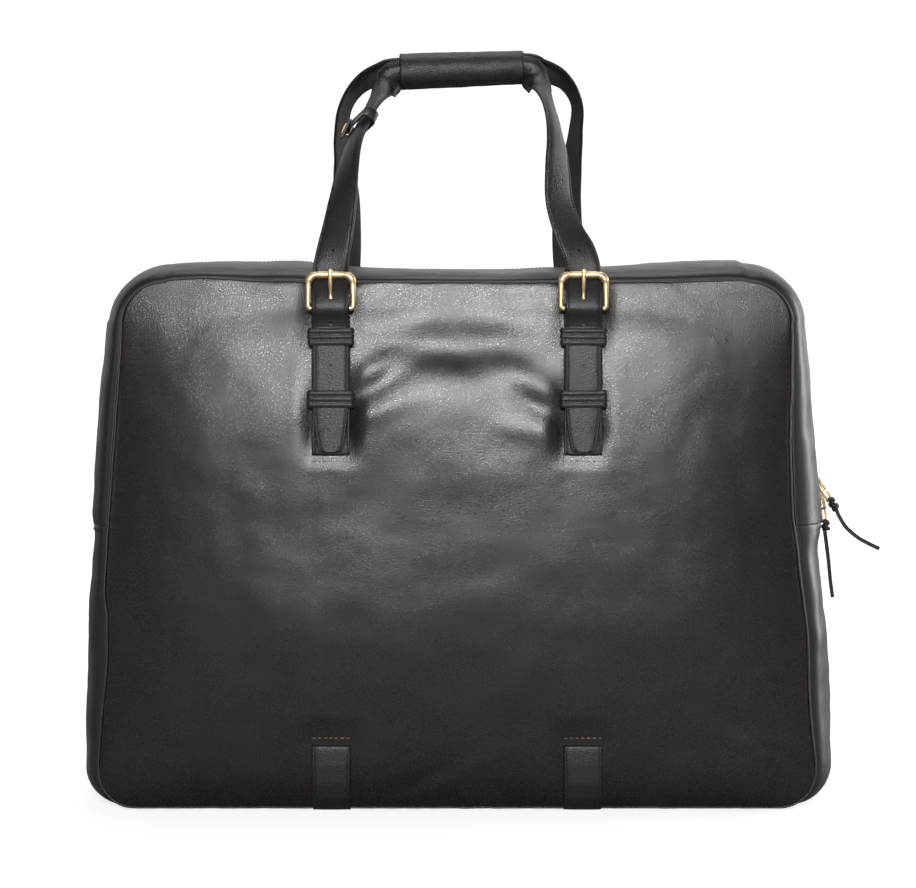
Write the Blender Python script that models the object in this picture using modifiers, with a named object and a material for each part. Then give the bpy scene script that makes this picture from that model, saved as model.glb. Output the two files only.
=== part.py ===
"""A leather travel bag with a three-sided zip, buckled carrying straps and a shared hand grip.

Metres, +Z up. X runs across the bag, the front faces -Y, and the origin is on the floor at the
middle of the base. Depths are distances out from the bag's middle plane, towards either face.
"""

import math

import bmesh
import bpy
from mathutils import Matrix, Vector

# The bag's body
BASE_HALF_WIDTH = 0.3035  # of a main panel, at floor level
SIDE_TAPER = 0.0506  # width that each side loses per metre of height
SEAM_LOW = 0.0026
SEAM_HIGH = 0.4445
LOW_CORNER = 0.030
HIGH_CORNER = 0.036
SEAM_DEPTH = 0.083
FACE_DEPTH = 0.0955  # of a panel's flat middle
PANEL_LEATHER = 0.0022
PANEL_COLUMNS = 14
SIDE_SEAM = 0.2385  # height where the upper gussets meet the lower one
GUSSET_EDGE = 0.0805
GUSSET_REACH = 0.0812  # depth at which a gusset's bulge dies out
GUSSET_LEATHER = 0.0016
BULGE_SEAM = 0.0277  # a gusset's bulge at the side seam
BULGE_HIGH = 0.0197  # where the upper corner starts
BULGE_LOW = 0.0227  # where the lower corner starts
BULGE_MIDDLE = 0.0145  # at the middle of the top

# The zip, measured across and out from the chain's middle
SLOT_HALF = 0.0125
CHAIN_BELOW = 0.0022  # the chain's middle, below the gusset's crest
CHAIN_SPLIT = 0.0007
CHAIN_HALF_WIDTH = 0.0032
CHAIN_THICKNESS = 0.0026
TAPE_INNER = 0.0035
TAPE_OUTER = 0.0137
TAPE_THICKNESS = 0.0005
SLIDER_LENGTH = 0.012
SLIDER_HALF_WIDTH = 0.0048
SLIDER_WEB = 0.0007
SLIDER_INNER = 0.0017
SLIDER_OUTER = 0.0034
BAIL_HEIGHT = 0.0056
UPPER_SLIDER = 0.2700
LOWER_SLIDER = 0.2565

# Straps and buckles
STRAP_X = 0.1055
STRAP_WIDTH = 0.030
STRAP_LEATHER = 0.0030
SUPPORT_WIDTH = 0.032
SUPPORT_LEATHER = 0.0022
SUPPORT_DEPTH = 0.0986
INSIDE_DEPTH = 0.0905
SLIT_HIGH = 0.3000
SLIT_LOW = 0.0560
SLIT_CLEAR_X = 0.0006
SLIT_CLEAR_Z = 0.0013
SLIT_CUT_IN = 0.010  # how far a slit's cutter reaches in and out from the panel's face
SLIT_CUT_OUT = 0.005
BAR_DEPTH = 0.1019
HEEL_BAR = 0.4223
TOP_BAR = 0.4503
BAR_RADIUS = 0.0019
FRAME_HALF_WIDTH = 0.0186
ROLLER_RADIUS = 0.0029
ROLLER_LENGTH = 0.0225
BORE_RADIUS = 0.00215
PRONG_WIDTH = 0.0030
LOOP_RADIUS = 0.0033
LOOP_TOP = 0.4285  # above the loop round the heel bar
FLAP_DEPTH = 0.1011  # the end that is turned back below the heel bar and sewn down
FLAP_END = 0.4145
KEEPER_DEPTH = 0.10025  # of a keeper's middle, with its half thickness inside and out below
KEEPER_INNER = 0.00305
KEEPER_OUTER = 0.00435
KEEPER_WIDTH = 0.039
KEEPER_HEIGHT = 0.0145
UPPER_KEEPER = 0.3986
LOWER_KEEPER = 0.3466
FLEX_START = 0.0035  # gap between a buckled end and the strap above it
FLEX_LENGTH = 0.062

# Inside
INSIDE_HALF_WIDTH = 0.262
BOARD_HALF_DEPTH = 0.0740
BOARD_HEIGHTS = (0.0050, 0.0080)
LINING_HALF_DEPTH = 0.0760
LINING_HEIGHTS = (0.0086, 0.4150)
LINING_THICKNESS = 0.0012

# The grip
GRIP_LEFT = Vector((-0.0503, 0, 0.6337))
GRIP_RIGHT = Vector((0.0587, 0, 0.6377))
GRIP_WALL_IN = 0.0131
# the wrap's radius, at shares of its half length from the right end to the left
GRIP_PROFILE = [(0.0147, 1), (0.0152, 0.6), (0.0156, 0), (0.0160, -0.6), (0.0158, -1)]
STRAP_RING = 0.0106
CORE_RADIUS = 0.0074

# The tag loop, round the front left strap
TAG_PLACE = 0.139  # distance up the strap from its buckle
TAG_WIDTH = 0.009
TAG_LEATHER = 0.0016
TAG_INSIDE = (0.0165, 0.0052, 0.003)  # half width, half depth and corner radius
TAG_DROP = 0.0018  # the loop's middle, behind the cupped strap's crown

GAP = 0.0003
SIDES = {"front": -1, "rear": 1}
ENDS = {"left": -1, "right": 1}
TAPER_ANGLE = math.atan(SIDE_TAPER)

# Stations up each leg of a handle strap, from its buckle to the grip:
# x, depth, z, lean of the face from square-on towards the arch's outside, and cupping, in degrees
FRONT_LEFT = [
    (-0.1055, 0.0969, 0.4575, 4, 0),
    (-0.1035, 0.0960, 0.4700, 14, 0),
    (-0.0995, 0.0930, 0.4920, 26, 4),
    (-0.0962, 0.0880, 0.5163, 36, 12),
    (-0.0940, 0.0790, 0.5400, 46, 24),
    (-0.0905, 0.0660, 0.5625, 56, 42),
    (-0.0840, 0.0500, 0.5815, 63, 62),
    (-0.0765, 0.0350, 0.6000, 64, 90),
    (-0.0680, 0.0220, 0.6150, 44, 122),
    (-0.0585, 0.0130, 0.6240, 2, 150),
]
FRONT_RIGHT = [
    (0.1050, 0.0969, 0.4575, 4, 0),
    (0.1017, 0.0960, 0.4700, 16, 0),
    (0.0935, 0.0930, 0.4880, 30, 4),
    (0.0865, 0.0880, 0.5130, 37, 12),
    (0.0860, 0.0790, 0.5400, 42, 24),
    (0.0868, 0.0660, 0.5650, 51, 42),
    (0.0850, 0.0500, 0.5860, 62, 62),
    (0.0812, 0.0350, 0.6040, 66, 90),
    (0.0755, 0.0220, 0.6190, 46, 122),
    (0.0668, 0.0130, 0.6275, 2, 150),
]
REAR_LEFT = [
    (-0.1055, 0.0969, 0.4575, 4, 0),
    (-0.1040, 0.0965, 0.4750, 12, 0),
    (-0.1030, 0.0945, 0.5000, 24, 4),
    (-0.1028, 0.0900, 0.5300, 38, 10),
    (-0.1050, 0.0800, 0.5590, 52, 20),
    (-0.1070, 0.0640, 0.5840, 62, 36),
    (-0.1045, 0.0480, 0.6050, 68, 58),
    (-0.0960, 0.0340, 0.6210, 66, 86),
    (-0.0830, 0.0220, 0.6320, 56, 118),
    (-0.0660, 0.0130, 0.6375, 38, 150),
]
REAR_RIGHT = [
    (0.1055, 0.0969, 0.4575, 4, 0),
    (0.1035, 0.0965, 0.4750, 12, 0),
    (0.1020, 0.0945, 0.5000, 24, 4),
    (0.1025, 0.0900, 0.5300, 38, 10),
    (0.1062, 0.0800, 0.5590, 52, 20),
    (0.1100, 0.0640, 0.5860, 64, 36),
    (0.1110, 0.0480, 0.6080, 72, 58),
    (0.1040, 0.0340, 0.6245, 70, 86),
    (0.0910, 0.0220, 0.6355, 56, 118),
    (0.0740, 0.0130, 0.6405, 38, 150),
]
GRIP_LEAN = {"front": -30, "rear": 30}
GRIP_CUP = 158

# Where the loose ends of the two zip pulls lie: x and z, down each thong
UPPER_THONG = [
    (0.3345, 0.2475),
    (0.3365, 0.2425),
    (0.3430, 0.2322),
    (0.3528, 0.2236),
    (0.3625, 0.2180),
    (0.3722, 0.2134),
]
LOWER_THONG = [
    (0.3242, 0.2292),
    (0.3248, 0.2240),
    (0.3262, 0.2130),
    (0.3275, 0.2020),
    (0.3290, 0.1860),
    (0.3310, 0.1705),
]
UPPER_KNOT = (0.3312, 0.2530)
LOWER_KNOT = (0.3248, 0.2345)
KNOT_RADIUS = 0.0042
THONG_RADIUS = 0.0015

# colour, roughness, metallic
FINISHES = {
    "panel_leather": ((0.040, 0.034, 0.029), 0.45, 0.0),
    "gusset_leather": ((0.030, 0.030, 0.031), 0.40, 0.0),
    "strap_leather": ((0.022, 0.022, 0.024), 0.50, 0.0),
    "brass": ((0.78, 0.57, 0.28), 0.30, 1.0),
    "zip_tape": ((0.018, 0.018, 0.018), 0.85, 0.0),
    "lining": ((0.10, 0.085, 0.07), 0.85, 0.0),
    "board": ((0.30, 0.24, 0.17), 0.80, 0.0),
    "core": ((0.12, 0.10, 0.08), 0.80, 0.0),
}


# ---- Blender helpers ----


def clear_scene():
    for obj in list(bpy.data.objects):
        bpy.data.objects.remove(obj, do_unlink=True)


def new_collection(name):
    made = bpy.data.collections.new(name)
    bpy.context.scene.collection.children.link(made)
    return made


def finish_material(name):
    made = bpy.data.materials.get(name)
    if made:
        return made
    colour, roughness, metallic = FINISHES[name]
    made = bpy.data.materials.new(name)
    made.use_nodes = True
    shader = made.node_tree.nodes["Principled BSDF"]
    shader.inputs["Base Color"].default_value = (*colour, 1)
    shader.inputs["Roughness"].default_value = roughness
    shader.inputs["Metallic"].default_value = metallic
    return made


def add_object(name, data, finish, place=None):
    obj = bpy.data.objects.new(name, data)
    data.materials.clear()
    data.materials.append(finish_material(finish))
    PARTS.objects.link(obj)
    if place is not None:
        obj.matrix_world = place
    return obj


def hide_cutter(obj):
    for owner in list(obj.users_collection):
        owner.objects.unlink(obj)
    CUTTERS.objects.link(obj)
    obj.hide_render = True
    obj.display_type = "WIRE"
    return obj


def smooth(obj, angle=40):
    obj.data.shade_smooth()
    obj.data.set_sharp_from_angle(angle=math.radians(angle))
    return obj


def curve_to_mesh(obj):
    """The mesh of a curve object, its caps welded on, in place of the curve."""
    bpy.context.view_layer.update()
    graph = bpy.context.evaluated_depsgraph_get()
    mesh = bpy.data.meshes.new_from_object(obj.evaluated_get(graph))
    made = bmesh.new()
    made.from_mesh(mesh)
    bmesh.ops.remove_doubles(made, verts=made.verts, dist=1e-6)
    bmesh.ops.recalc_face_normals(made, faces=made.faces)
    made.to_mesh(mesh)
    made.free()
    name, place, owner = obj.name, obj.matrix_world.copy(), obj.users_collection[0]
    bpy.data.objects.remove(obj, do_unlink=True)
    solid = bpy.data.objects.new(name, mesh)
    solid.matrix_world = place
    owner.objects.link(solid)
    return smooth(solid)


def flat_solid(name, outlines, thickness, finish, place):
    """A flat outline, with holes where there are more outlines, extruded about its own plane."""
    curve = bpy.data.curves.new(name, "CURVE")
    curve.dimensions = "2D"
    curve.fill_mode = "BOTH"
    curve.extrude = thickness / 2
    for outline in outlines:
        spline = curve.splines.new("POLY")
        spline.points.add(len(outline) - 1)
        for point, (a, b) in zip(spline.points, outline):
            point.co = (a, b, 0, 1)
        spline.use_cyclic_u = True
    return curve_to_mesh(add_object(name, curve, finish, place))


def wire(name, points, radius, finish, closed=False, sides=2, radii=None):
    """A round wire through the points."""
    curve = bpy.data.curves.new(name, "CURVE")
    curve.dimensions = "3D"
    curve.bevel_depth = radius
    curve.bevel_resolution = sides
    curve.use_fill_caps = True
    curve.twist_mode = "MINIMUM"
    spline = curve.splines.new("POLY")
    spline.points.add(len(points) - 1)
    for i, co in enumerate(points):
        spline.points[i].co = (*co, 1)
        spline.points[i].radius = radii[i] if radii else 1
    spline.use_cyclic_u = closed
    return curve_to_mesh(add_object(name, curve, finish))


def sheet(name, grid, place, thickness, finish, inward_to=None):
    """A grid of (across, along) faces laid out by place(u, v), thickened, towards inward_to if given."""
    mesh = bpy.data.meshes.new(name)
    made = bmesh.new()
    bmesh.ops.create_grid(made, x_segments=grid[0], y_segments=grid[1], size=0.5)
    for vert in made.verts:
        vert.co = place(vert.co.x + 0.5, vert.co.y + 0.5)
    made.normal_update()
    if inward_to is not None:
        outward = sum(f.normal.dot(f.calc_center_median() - inward_to) for f in made.faces)
        if outward < 0:
            bmesh.ops.reverse_faces(made, faces=made.faces)
    made.to_mesh(mesh)
    made.free()
    obj = add_object(name, mesh, finish)
    solidify = obj.modifiers.new("thickness", "SOLIDIFY")
    solidify.thickness = thickness
    solidify.offset = -1 if inward_to is not None else 0
    solidify.use_even_offset = True
    return smooth(obj)


def box(name, low, high, finish):
    mesh = bpy.data.meshes.new(name)
    made = bmesh.new()
    bmesh.ops.create_cube(made, size=1)
    for vert in made.verts:
        vert.co = Vector(b if c > 0 else a for a, b, c in zip(low, high, vert.co))
    made.to_mesh(mesh)
    made.free()
    return add_object(name, mesh, finish)


def cut(obj, cutter):
    boolean = obj.modifiers.new("cut " + cutter.name, "BOOLEAN")
    boolean.operation = "DIFFERENCE"
    boolean.object = cutter


def cut_block(obj, name, sign, across, depths, heights):
    """Cuts a block out of obj: its x range, its depths on that side of the bag, and its heights."""
    near, far = sorted(sign * depth for depth in depths)
    low = (across[0], near, heights[0])
    high = (across[1], far, heights[1])
    cut(obj, hide_cutter(box(name, low, high, "core")))


def join(obj, others):
    """Unites the others into obj, and leaves them as hidden helpers."""
    for other in others:
        boolean = obj.modifiers.new("join " + other.name, "BOOLEAN")
        boolean.operation = "UNION"
        boolean.object = hide_cutter(other)
    return obj


def circle(centre, radius, count, start=0.0):
    return [
        (
            centre[0] + radius * math.cos(start + 2 * math.pi * i / count),
            centre[1] + radius * math.sin(start + 2 * math.pi * i / count),
        )
        for i in range(count)
    ]


def arc(centre, radius, first, last, steps):
    """Points from angle first to angle last, in degrees."""
    return [
        (
            centre[0] + radius * math.cos(math.radians(first + (last - first) * i / steps)),
            centre[1] + radius * math.sin(math.radians(first + (last - first) * i / steps)),
        )
        for i in range(steps + 1)
    ]


def rounded_box(half_a, half_b, radius, steps=3):
    """A rectangle about the origin with round corners."""
    a, b = half_a - radius, half_b - radius
    corners = ((a, b, 0), (-a, b, 90), (-a, -b, 180), (a, -b, 270))
    return [p for x, y, turn in corners for p in arc((x, y), radius, turn, turn + 90, steps)]


def rounded_path(corners, steps=4):
    """A path through (a, b, radius) corners, each turned on its radius."""
    path = [corners[0][:2]]
    for before, (a, b, radius), after in zip(corners, corners[1:], corners[2:]):
        here = Vector((a, b))
        back = (Vector(before[:2]) - here).normalized()
        ahead = (Vector(after[:2]) - here).normalized()
        opening = back.angle(ahead)
        if radius == 0 or opening > math.pi - 0.01:
            path.append((a, b))
            continue
        reach = radius / math.tan(opening / 2)
        middle = here + (back + ahead).normalized() * radius / math.sin(opening / 2)
        start = here + back * reach - middle
        end = here + ahead * reach - middle
        for i in range(steps + 1):
            spoke = start.normalized().slerp(end.normalized(), i / steps)
            path.append(tuple(middle + spoke * radius))
    path.append(corners[-1][:2])
    return path


def strip_outline(path, thickness):
    """The outline of a strip of this thickness along a path."""
    left, right = [], []
    points = [Vector(p) for p in path]
    for i, here in enumerate(points):
        before = (here - points[i - 1]).normalized() if i else None
        after = (points[i + 1] - here).normalized() if i + 1 < len(points) else None
        way = ((before or after) + (after or before)).normalized()
        side = Vector((-way.y, way.x))
        bend = abs(side.dot(Vector((-(before or after).y, (before or after).x))))
        reach = thickness / 2 / max(bend, 0.5)
        left.append(tuple(here + side * reach))
        right.append(tuple(here - side * reach))
    return left + right[::-1]


def in_depth_plane(x):
    """Places a flat (y, z) outline square across X at x."""
    return Matrix(((0, 0, 1, x), (1, 0, 0, 0), (0, 1, 0, 0), (0, 0, 0, 1)))


# ---- The bag's outline and surfaces ----


def side_at(z):
    return BASE_HALF_WIDTH - SIDE_TAPER * z


def corner_centre(z, radius):
    """The middle of a corner arc that touches the right side and the level of its middle z."""
    return Vector((side_at(z) - radius / math.cos(TAPER_ANGLE), z))


HIGH_CENTRE = corner_centre(SEAM_HIGH - HIGH_CORNER, HIGH_CORNER)
LOW_CENTRE = corner_centre(SEAM_LOW + LOW_CORNER, LOW_CORNER)


def seam_half_width(z):
    """A main panel's half width at height z, its round corners included."""
    for centre, radius, beyond in ((HIGH_CENTRE, HIGH_CORNER, 1), (LOW_CENTRE, LOW_CORNER, -1)):
        over = (z - centre.y) * beyond
        if over > radius * math.sin(TAPER_ANGLE) * beyond:
            return centre.x + math.sqrt(max(radius**2 - min(over, radius) ** 2, 0))
    return side_at(z)


def face_depth(x, z):
    """A main panel's depth: flat in its middle and rolled in towards the seams."""
    across = abs(x) / seam_half_width(z)
    up = abs(2 * (z - SEAM_LOW) / (SEAM_HIGH - SEAM_LOW) - 1)
    roll = max((1 - min(across, 1) ** 6) * (1 - min(up, 1) ** 8), 0) ** 0.6
    return SEAM_DEPTH + (FACE_DEPTH - SEAM_DEPTH) * roll


def bulge_on_side(z):
    if z >= SIDE_SEAM:
        top = HIGH_CENTRE.y
        return BULGE_SEAM + (BULGE_HIGH - BULGE_SEAM) * (z - SIDE_SEAM) / (top - SIDE_SEAM)
    low = LOW_CENTRE.y
    return BULGE_LOW + (BULGE_SEAM - BULGE_LOW) * (z - low) / (SIDE_SEAM - low)


def bulge_on_top(x):
    return min(BULGE_MIDDLE + 0.0055 * (x / 0.2) ** 2, BULGE_HIGH)


def upper_half_path():
    """(point, outward normal, bulge) from the right side seam up to the middle of the top."""
    slant = Vector((math.cos(TAPER_ANGLE), math.sin(TAPER_ANGLE)))
    top_of_side = HIGH_CENTRE.y + HIGH_CORNER * math.sin(TAPER_ANGLE)
    path = []
    for i in range(4):
        z = SIDE_SEAM + 2 * GAP + (top_of_side - SIDE_SEAM - 2 * GAP) * i / 4
        path.append((Vector((side_at(z), z)), slant, bulge_on_side(z)))
    for i in range(7):
        angle = TAPER_ANGLE + (math.pi / 2 - TAPER_ANGLE) * i / 6
        normal = Vector((math.cos(angle), math.sin(angle)))
        path.append((HIGH_CENTRE + normal * HIGH_CORNER, normal, BULGE_HIGH))
    for i in range(1, 6):
        x = HIGH_CENTRE.x * (1 - i / 5)
        path.append((Vector((x, SEAM_HIGH)), Vector((0, 1)), bulge_on_top(x)))
    return path


def lower_half_path():
    """The same from the right side seam down to the middle of the base."""
    slant = Vector((math.cos(TAPER_ANGLE), math.sin(TAPER_ANGLE)))
    foot_of_side = LOW_CENTRE.y + LOW_CORNER * math.sin(TAPER_ANGLE)
    path = []
    for i in range(4):
        z = SIDE_SEAM - 2 * GAP + (foot_of_side - SIDE_SEAM + 2 * GAP) * i / 4
        path.append((Vector((side_at(z), z)), slant, bulge_on_side(z)))
    for i in range(7):
        angle = TAPER_ANGLE - (math.pi / 2 + TAPER_ANGLE) * i / 6
        normal = Vector((math.cos(angle), math.sin(angle)))
        bulge = BULGE_LOW * math.cos(math.pi / 12 * i) ** 1.5
        path.append((LOW_CENTRE + normal * LOW_CORNER, normal, bulge))
    for i in range(1, 4):
        path.append((Vector((LOW_CENTRE.x * (1 - i / 3), SEAM_LOW)), Vector((0, -1)), 0.0))
    return path


def mirrored(half):
    """The whole path from the right seam over to the left one."""
    other = [(Vector((-p.x, p.y)), Vector((-n.x, n.y)), b) for p, n, b in half[:-1]]
    return half + other[::-1]


def gusset_point(station, y, below=0.0):
    """A point of the gusset at depth y, some way below its surface."""
    point, normal, bulge = station
    swell = max(1 - abs(y / GUSSET_REACH) ** 2.2, 0) ** (1 / 2.2)
    place = point + normal * (bulge * swell - below)
    return Vector((place.x, y, place.y))


def chain_point(station, y, out=0.0):
    """A point at the zip chain's level: some way out from the chain's middle."""
    point, normal, bulge = station
    place = point + normal * (bulge - CHAIN_BELOW + out)
    return Vector((place.x, y, place.y))


CORE = Vector((0, 0, 0.22))


def lay_along(path, across, point):
    """place(u, v) for a sheet that follows a path, with u spread over the given depths."""

    def place(u, v):
        station = path[round(v * (len(path) - 1))]
        return point(station, across[round(u * (len(across) - 1))])

    return place


def build_gussets():
    upper, lower = mirrored(upper_half_path()), mirrored(lower_half_path())
    for side, sign in SIDES.items():
        across = [sign * d for d in (GUSSET_EDGE, 0.0755, 0.064, 0.040, SLOT_HALF)]
        name = {"front": "upper_gusset_front", "rear": "upper_gusset_rear"}[side]
        place = lay_along(upper, across, gusset_point)
        grid = (len(across) - 1, len(upper) - 1)
        sheet(name, grid, place, GUSSET_LEATHER, "gusset_leather", CORE)
    half = (GUSSET_EDGE, 0.0755, 0.064, 0.040)
    across = [-d for d in half] + [0.0] + list(half[::-1])
    place = lay_along(lower, across, gusset_point)
    grid = (len(across) - 1, len(lower) - 1)
    sheet("lower_gusset", grid, place, GUSSET_LEATHER, "gusset_leather", CORE)


def build_zip():
    path = mirrored(upper_half_path())
    for side, sign in SIDES.items():
        tape = [sign * d for d in (TAPE_INNER, TAPE_OUTER)]
        place = lay_along(path, tape, chain_point)
        sheet("zip_tape_" + side, (1, len(path) - 1), place, TAPE_THICKNESS, "zip_tape")
        teeth = [sign * d for d in (CHAIN_SPLIT, CHAIN_HALF_WIDTH)]
        place = lay_along(path, teeth, chain_point)
        sheet("zip_teeth_" + side, (1, len(path) - 1), place, CHAIN_THICKNESS, "brass")


def panel_heights():
    low = [LOW_CENTRE.y - LOW_CORNER * math.cos(math.pi / 2 * i / 4) for i in range(4)]
    high = [HIGH_CENTRE.y + HIGH_CORNER * math.sin(math.pi / 2 * i / 4) for i in range(1, 5)]
    steps = 5
    middle = [LOW_CENTRE.y + (HIGH_CENTRE.y - LOW_CENTRE.y) * i / steps for i in range(steps + 1)]
    return low + middle + high


def build_panels():
    heights = panel_heights()
    grid = (PANEL_COLUMNS, len(heights) - 1)
    for side, sign in SIDES.items():

        def place(u, v):
            z = heights[round(v * (len(heights) - 1))]
            x = seam_half_width(z) * math.sin(math.pi / 2 * (2 * u - 1))
            return Vector((x, sign * face_depth(x, z), z))

        name = {"front": "front_panel", "rear": "back_panel"}[side]
        panel = sheet(name, grid, place, PANEL_LEATHER, "panel_leather", CORE)
        for end, way in ENDS.items():
            for level, z in (("high", SLIT_HIGH), ("low", SLIT_LOW)):
                half = SUPPORT_WIDTH / 2 + SLIT_CLEAR_X
                tall = SUPPORT_LEATHER / 2 + SLIT_CLEAR_Z
                x = way * STRAP_X
                depths = (FACE_DEPTH - SLIT_CUT_IN, FACE_DEPTH + SLIT_CUT_OUT)
                name = f"slit_{side}_{end}_{level}"
                cut_block(panel, name, sign, (x - half, x + half), depths, (z - tall, z + tall))


# ---- Straps and buckles ----


def support_path():
    """(depth, z) down one face, from the loop round the heel bar to the middle of the base."""
    loop = (BAR_DEPTH, HEEL_BAR)
    flap = [(FLAP_DEPTH, FLAP_END), (FLAP_DEPTH, FLAP_END + 0.0027)]
    turn = arc(loop, LOOP_RADIUS, -50, 180, 12)
    corners = [
        (SUPPORT_DEPTH, HEEL_BAR - 0.002, 0),
        (SUPPORT_DEPTH, SLIT_HIGH, 0.0018),
        (INSIDE_DEPTH, SLIT_HIGH, 0.0018),
        (INSIDE_DEPTH, SLIT_LOW, 0.0018),
        (0.0964, SLIT_LOW, 0.0018),
        (0.0962, 0.040, 0.05),
        (0.0950, 0.024, 0.03),
        (0.0925, 0.012, 0.012),
        (0.0885, 0.0045, 0.006),
        (0.0830, 0.0011, 0.006),
        (0.0, 0.0011, 0),
    ]
    return flap + turn + rounded_path(corners)


def build_support_straps():
    front = support_path()
    path = [(-d, z) for d, z in front] + front[-2::-1]
    outline = strip_outline(path, SUPPORT_LEATHER)
    for end, way in ENDS.items():
        name = "support_strap_" + end
        x = way * STRAP_X
        strap = flat_solid(name, [outline], SUPPORT_WIDTH, "strap_leather", in_depth_plane(x))
        half = PRONG_WIDTH / 2 + 0.0005
        across = (x - half, x + half)
        outside = BAR_DEPTH + 0.0066
        for side, sign in SIDES.items():
            name = f"{side}_{end}"
            depths = (SUPPORT_DEPTH + 0.0018, outside)
            cut_block(strap, "slot_" + name, sign, across, depths, (FLAP_END + 0.002, LOOP_TOP))
            depths = (SUPPORT_DEPTH - 0.0016, outside)
            cut_block(strap, "crown_" + name, sign, across, depths, (HEEL_BAR - 0.0041, LOOP_TOP))


def buckle_ring(x, sign):
    """The middle line of a buckle frame, and how thick the wire is at each point."""
    low, high = HEEL_BAR, TOP_BAR
    small, large = 0.0022, 0.0072
    half = FRAME_HALF_WIDTH
    points = []
    for cx, cz, radius, turn in (
        (half - small, low + small, small, 270),
        (half - large, high - large, large, 0),
        (-half + large, high - large, large, 90),
        (-half + small, low + small, small, 180),
    ):
        thick = 1.35 if radius == large else 1.0
        for i, (a, b) in enumerate(arc((cx, cz), radius, turn, turn + 90, 3)):
            swell = math.sin(math.pi * i / 3)
            points.append(((x + a, sign * BAR_DEPTH, b), 1 + (thick - 1) * swell))
    return [p for p, _ in points], [r for _, r in points]


def prong_outline():
    """(depth, z): a ring round the heel bar, and the tongue that rises from it to the roller."""
    centre = (BAR_DEPTH, HEEL_BAR)
    middle = [(0.1040, 0.4258), (0.1048, 0.4330), (0.1058, 0.4420), (0.1065, 0.4500), (0.1064, 0.4540)]
    tongue = strip_outline(middle, 0.0024)
    back, front = tongue[: len(middle)], tongue[len(middle) :][::-1]
    if back[2][0] > front[2][0]:
        back, front = front, back
    ring = arc(centre, 0.0034, 100, 360 + 22, 14)
    return [ring + front + back[::-1], circle(centre, BORE_RADIUS, 14)]


def build_buckles():
    for side, sign in SIDES.items():
        for end, way in ENDS.items():
            x = way * STRAP_X
            tag = f"_{side}_{end}"
            points, radii = buckle_ring(x, sign)
            wire("buckle_frame" + tag, points, BAR_RADIUS, "brass", closed=True, radii=radii)
            outlines = [circle((0, 0), ROLLER_RADIUS, 16), circle((0, 0), BORE_RADIUS, 14)]
            place = Matrix.Translation((0, sign * BAR_DEPTH, TOP_BAR)) @ in_depth_plane(x)
            flat_solid("buckle_roller" + tag, outlines, ROLLER_LENGTH, "brass", place)
            outlines = [[(sign * d, z) for d, z in outline] for outline in prong_outline()]
            flat_solid("buckle_prong" + tag, outlines, PRONG_WIDTH, "brass", in_depth_plane(x))


def build_keepers():
    inner = rounded_box(SUPPORT_WIDTH / 2 + 0.0005, KEEPER_INNER, 0.0008, 2)
    outer = rounded_box(KEEPER_WIDTH / 2, KEEPER_OUTER, 0.0028, 3)
    for side, sign in SIDES.items():
        for end, way in ENDS.items():
            for level, z in (("upper", UPPER_KEEPER), ("lower", LOWER_KEEPER)):
                place = Matrix.Translation((way * STRAP_X, sign * KEEPER_DEPTH, z))
                name = f"keeper_{level}_{side}_{end}"
                flat_solid(name, [outer, inner], KEEPER_HEIGHT, "strap_leather", place)


TAIL_PATH = [
    (0.1015, 0.3024),
    (0.1015, 0.3040),
    (0.1015, 0.3070),
    (0.1015, 0.3200),
    (0.1015, 0.3349),
    (0.1015, 0.4050),
    (0.1020, 0.4085),
    (0.1033, 0.4125),
    (0.1052, 0.4160),
    (0.1073, 0.4192),
    (0.1082, 0.4223),
    (0.1079, 0.4258),
    (0.1066, 0.4300),
    (0.1045, 0.4350),
    (0.1018, 0.4405),
    (0.0990, 0.4450),
    (0.0974, 0.4482),
    (0.0969, 0.4515),
    (0.0969, 0.4575),
]
TAIL_WIDTHS = {0: 0.0140, 1: 0.0182, 2: 0.0212, 3: 0.0260}
TAIL_HOLES = (0.4092, 0.3742)
PRONG_SLOT = (0.4245, 0.4420)
HOLE_RADIUS = 0.0016


def build_tails():
    for side, sign in SIDES.items():
        for end, way in ENDS.items():
            centre = way * STRAP_X

            def place(u, v):
                i = round(v * (len(TAIL_PATH) - 1))
                depth, z = TAIL_PATH[i]
                width = TAIL_WIDTHS.get(i, STRAP_WIDTH)
                return Vector((centre + (u - 0.5) * width, sign * depth, z))

            name = f"strap_tail_{side}_{end}"
            grid = (2, len(TAIL_PATH) - 1)
            tail = sheet(name, grid, place, STRAP_LEATHER, "strap_leather")
            half = PRONG_WIDTH / 2 + 0.0006
            across = (centre - half, centre + half)
            depths = (BAR_DEPTH - 0.008, BAR_DEPTH + 0.011)
            cut_block(tail, f"prong_slot_{side}_{end}", sign, across, depths, PRONG_SLOT)
            for i, z in enumerate(TAIL_HOLES):
                mesh = bpy.data.meshes.new("punch")
                made = bmesh.new()
                sizes = {"radius1": HOLE_RADIUS, "radius2": HOLE_RADIUS, "depth": 4 * STRAP_LEATHER}
                bmesh.ops.create_cone(made, cap_ends=True, segments=8, **sizes)
                made.to_mesh(mesh)
                made.free()
                turn = Matrix.Rotation(math.pi / 2, 4, "X")
                place_hole = Matrix.Translation((centre, sign * BAR_DEPTH, z)) @ turn
                punch = add_object(f"punch_{side}_{end}_{i}", mesh, "core", place_hole)
                cut(tail, hide_cutter(punch))


# ---- Handles ----


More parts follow.
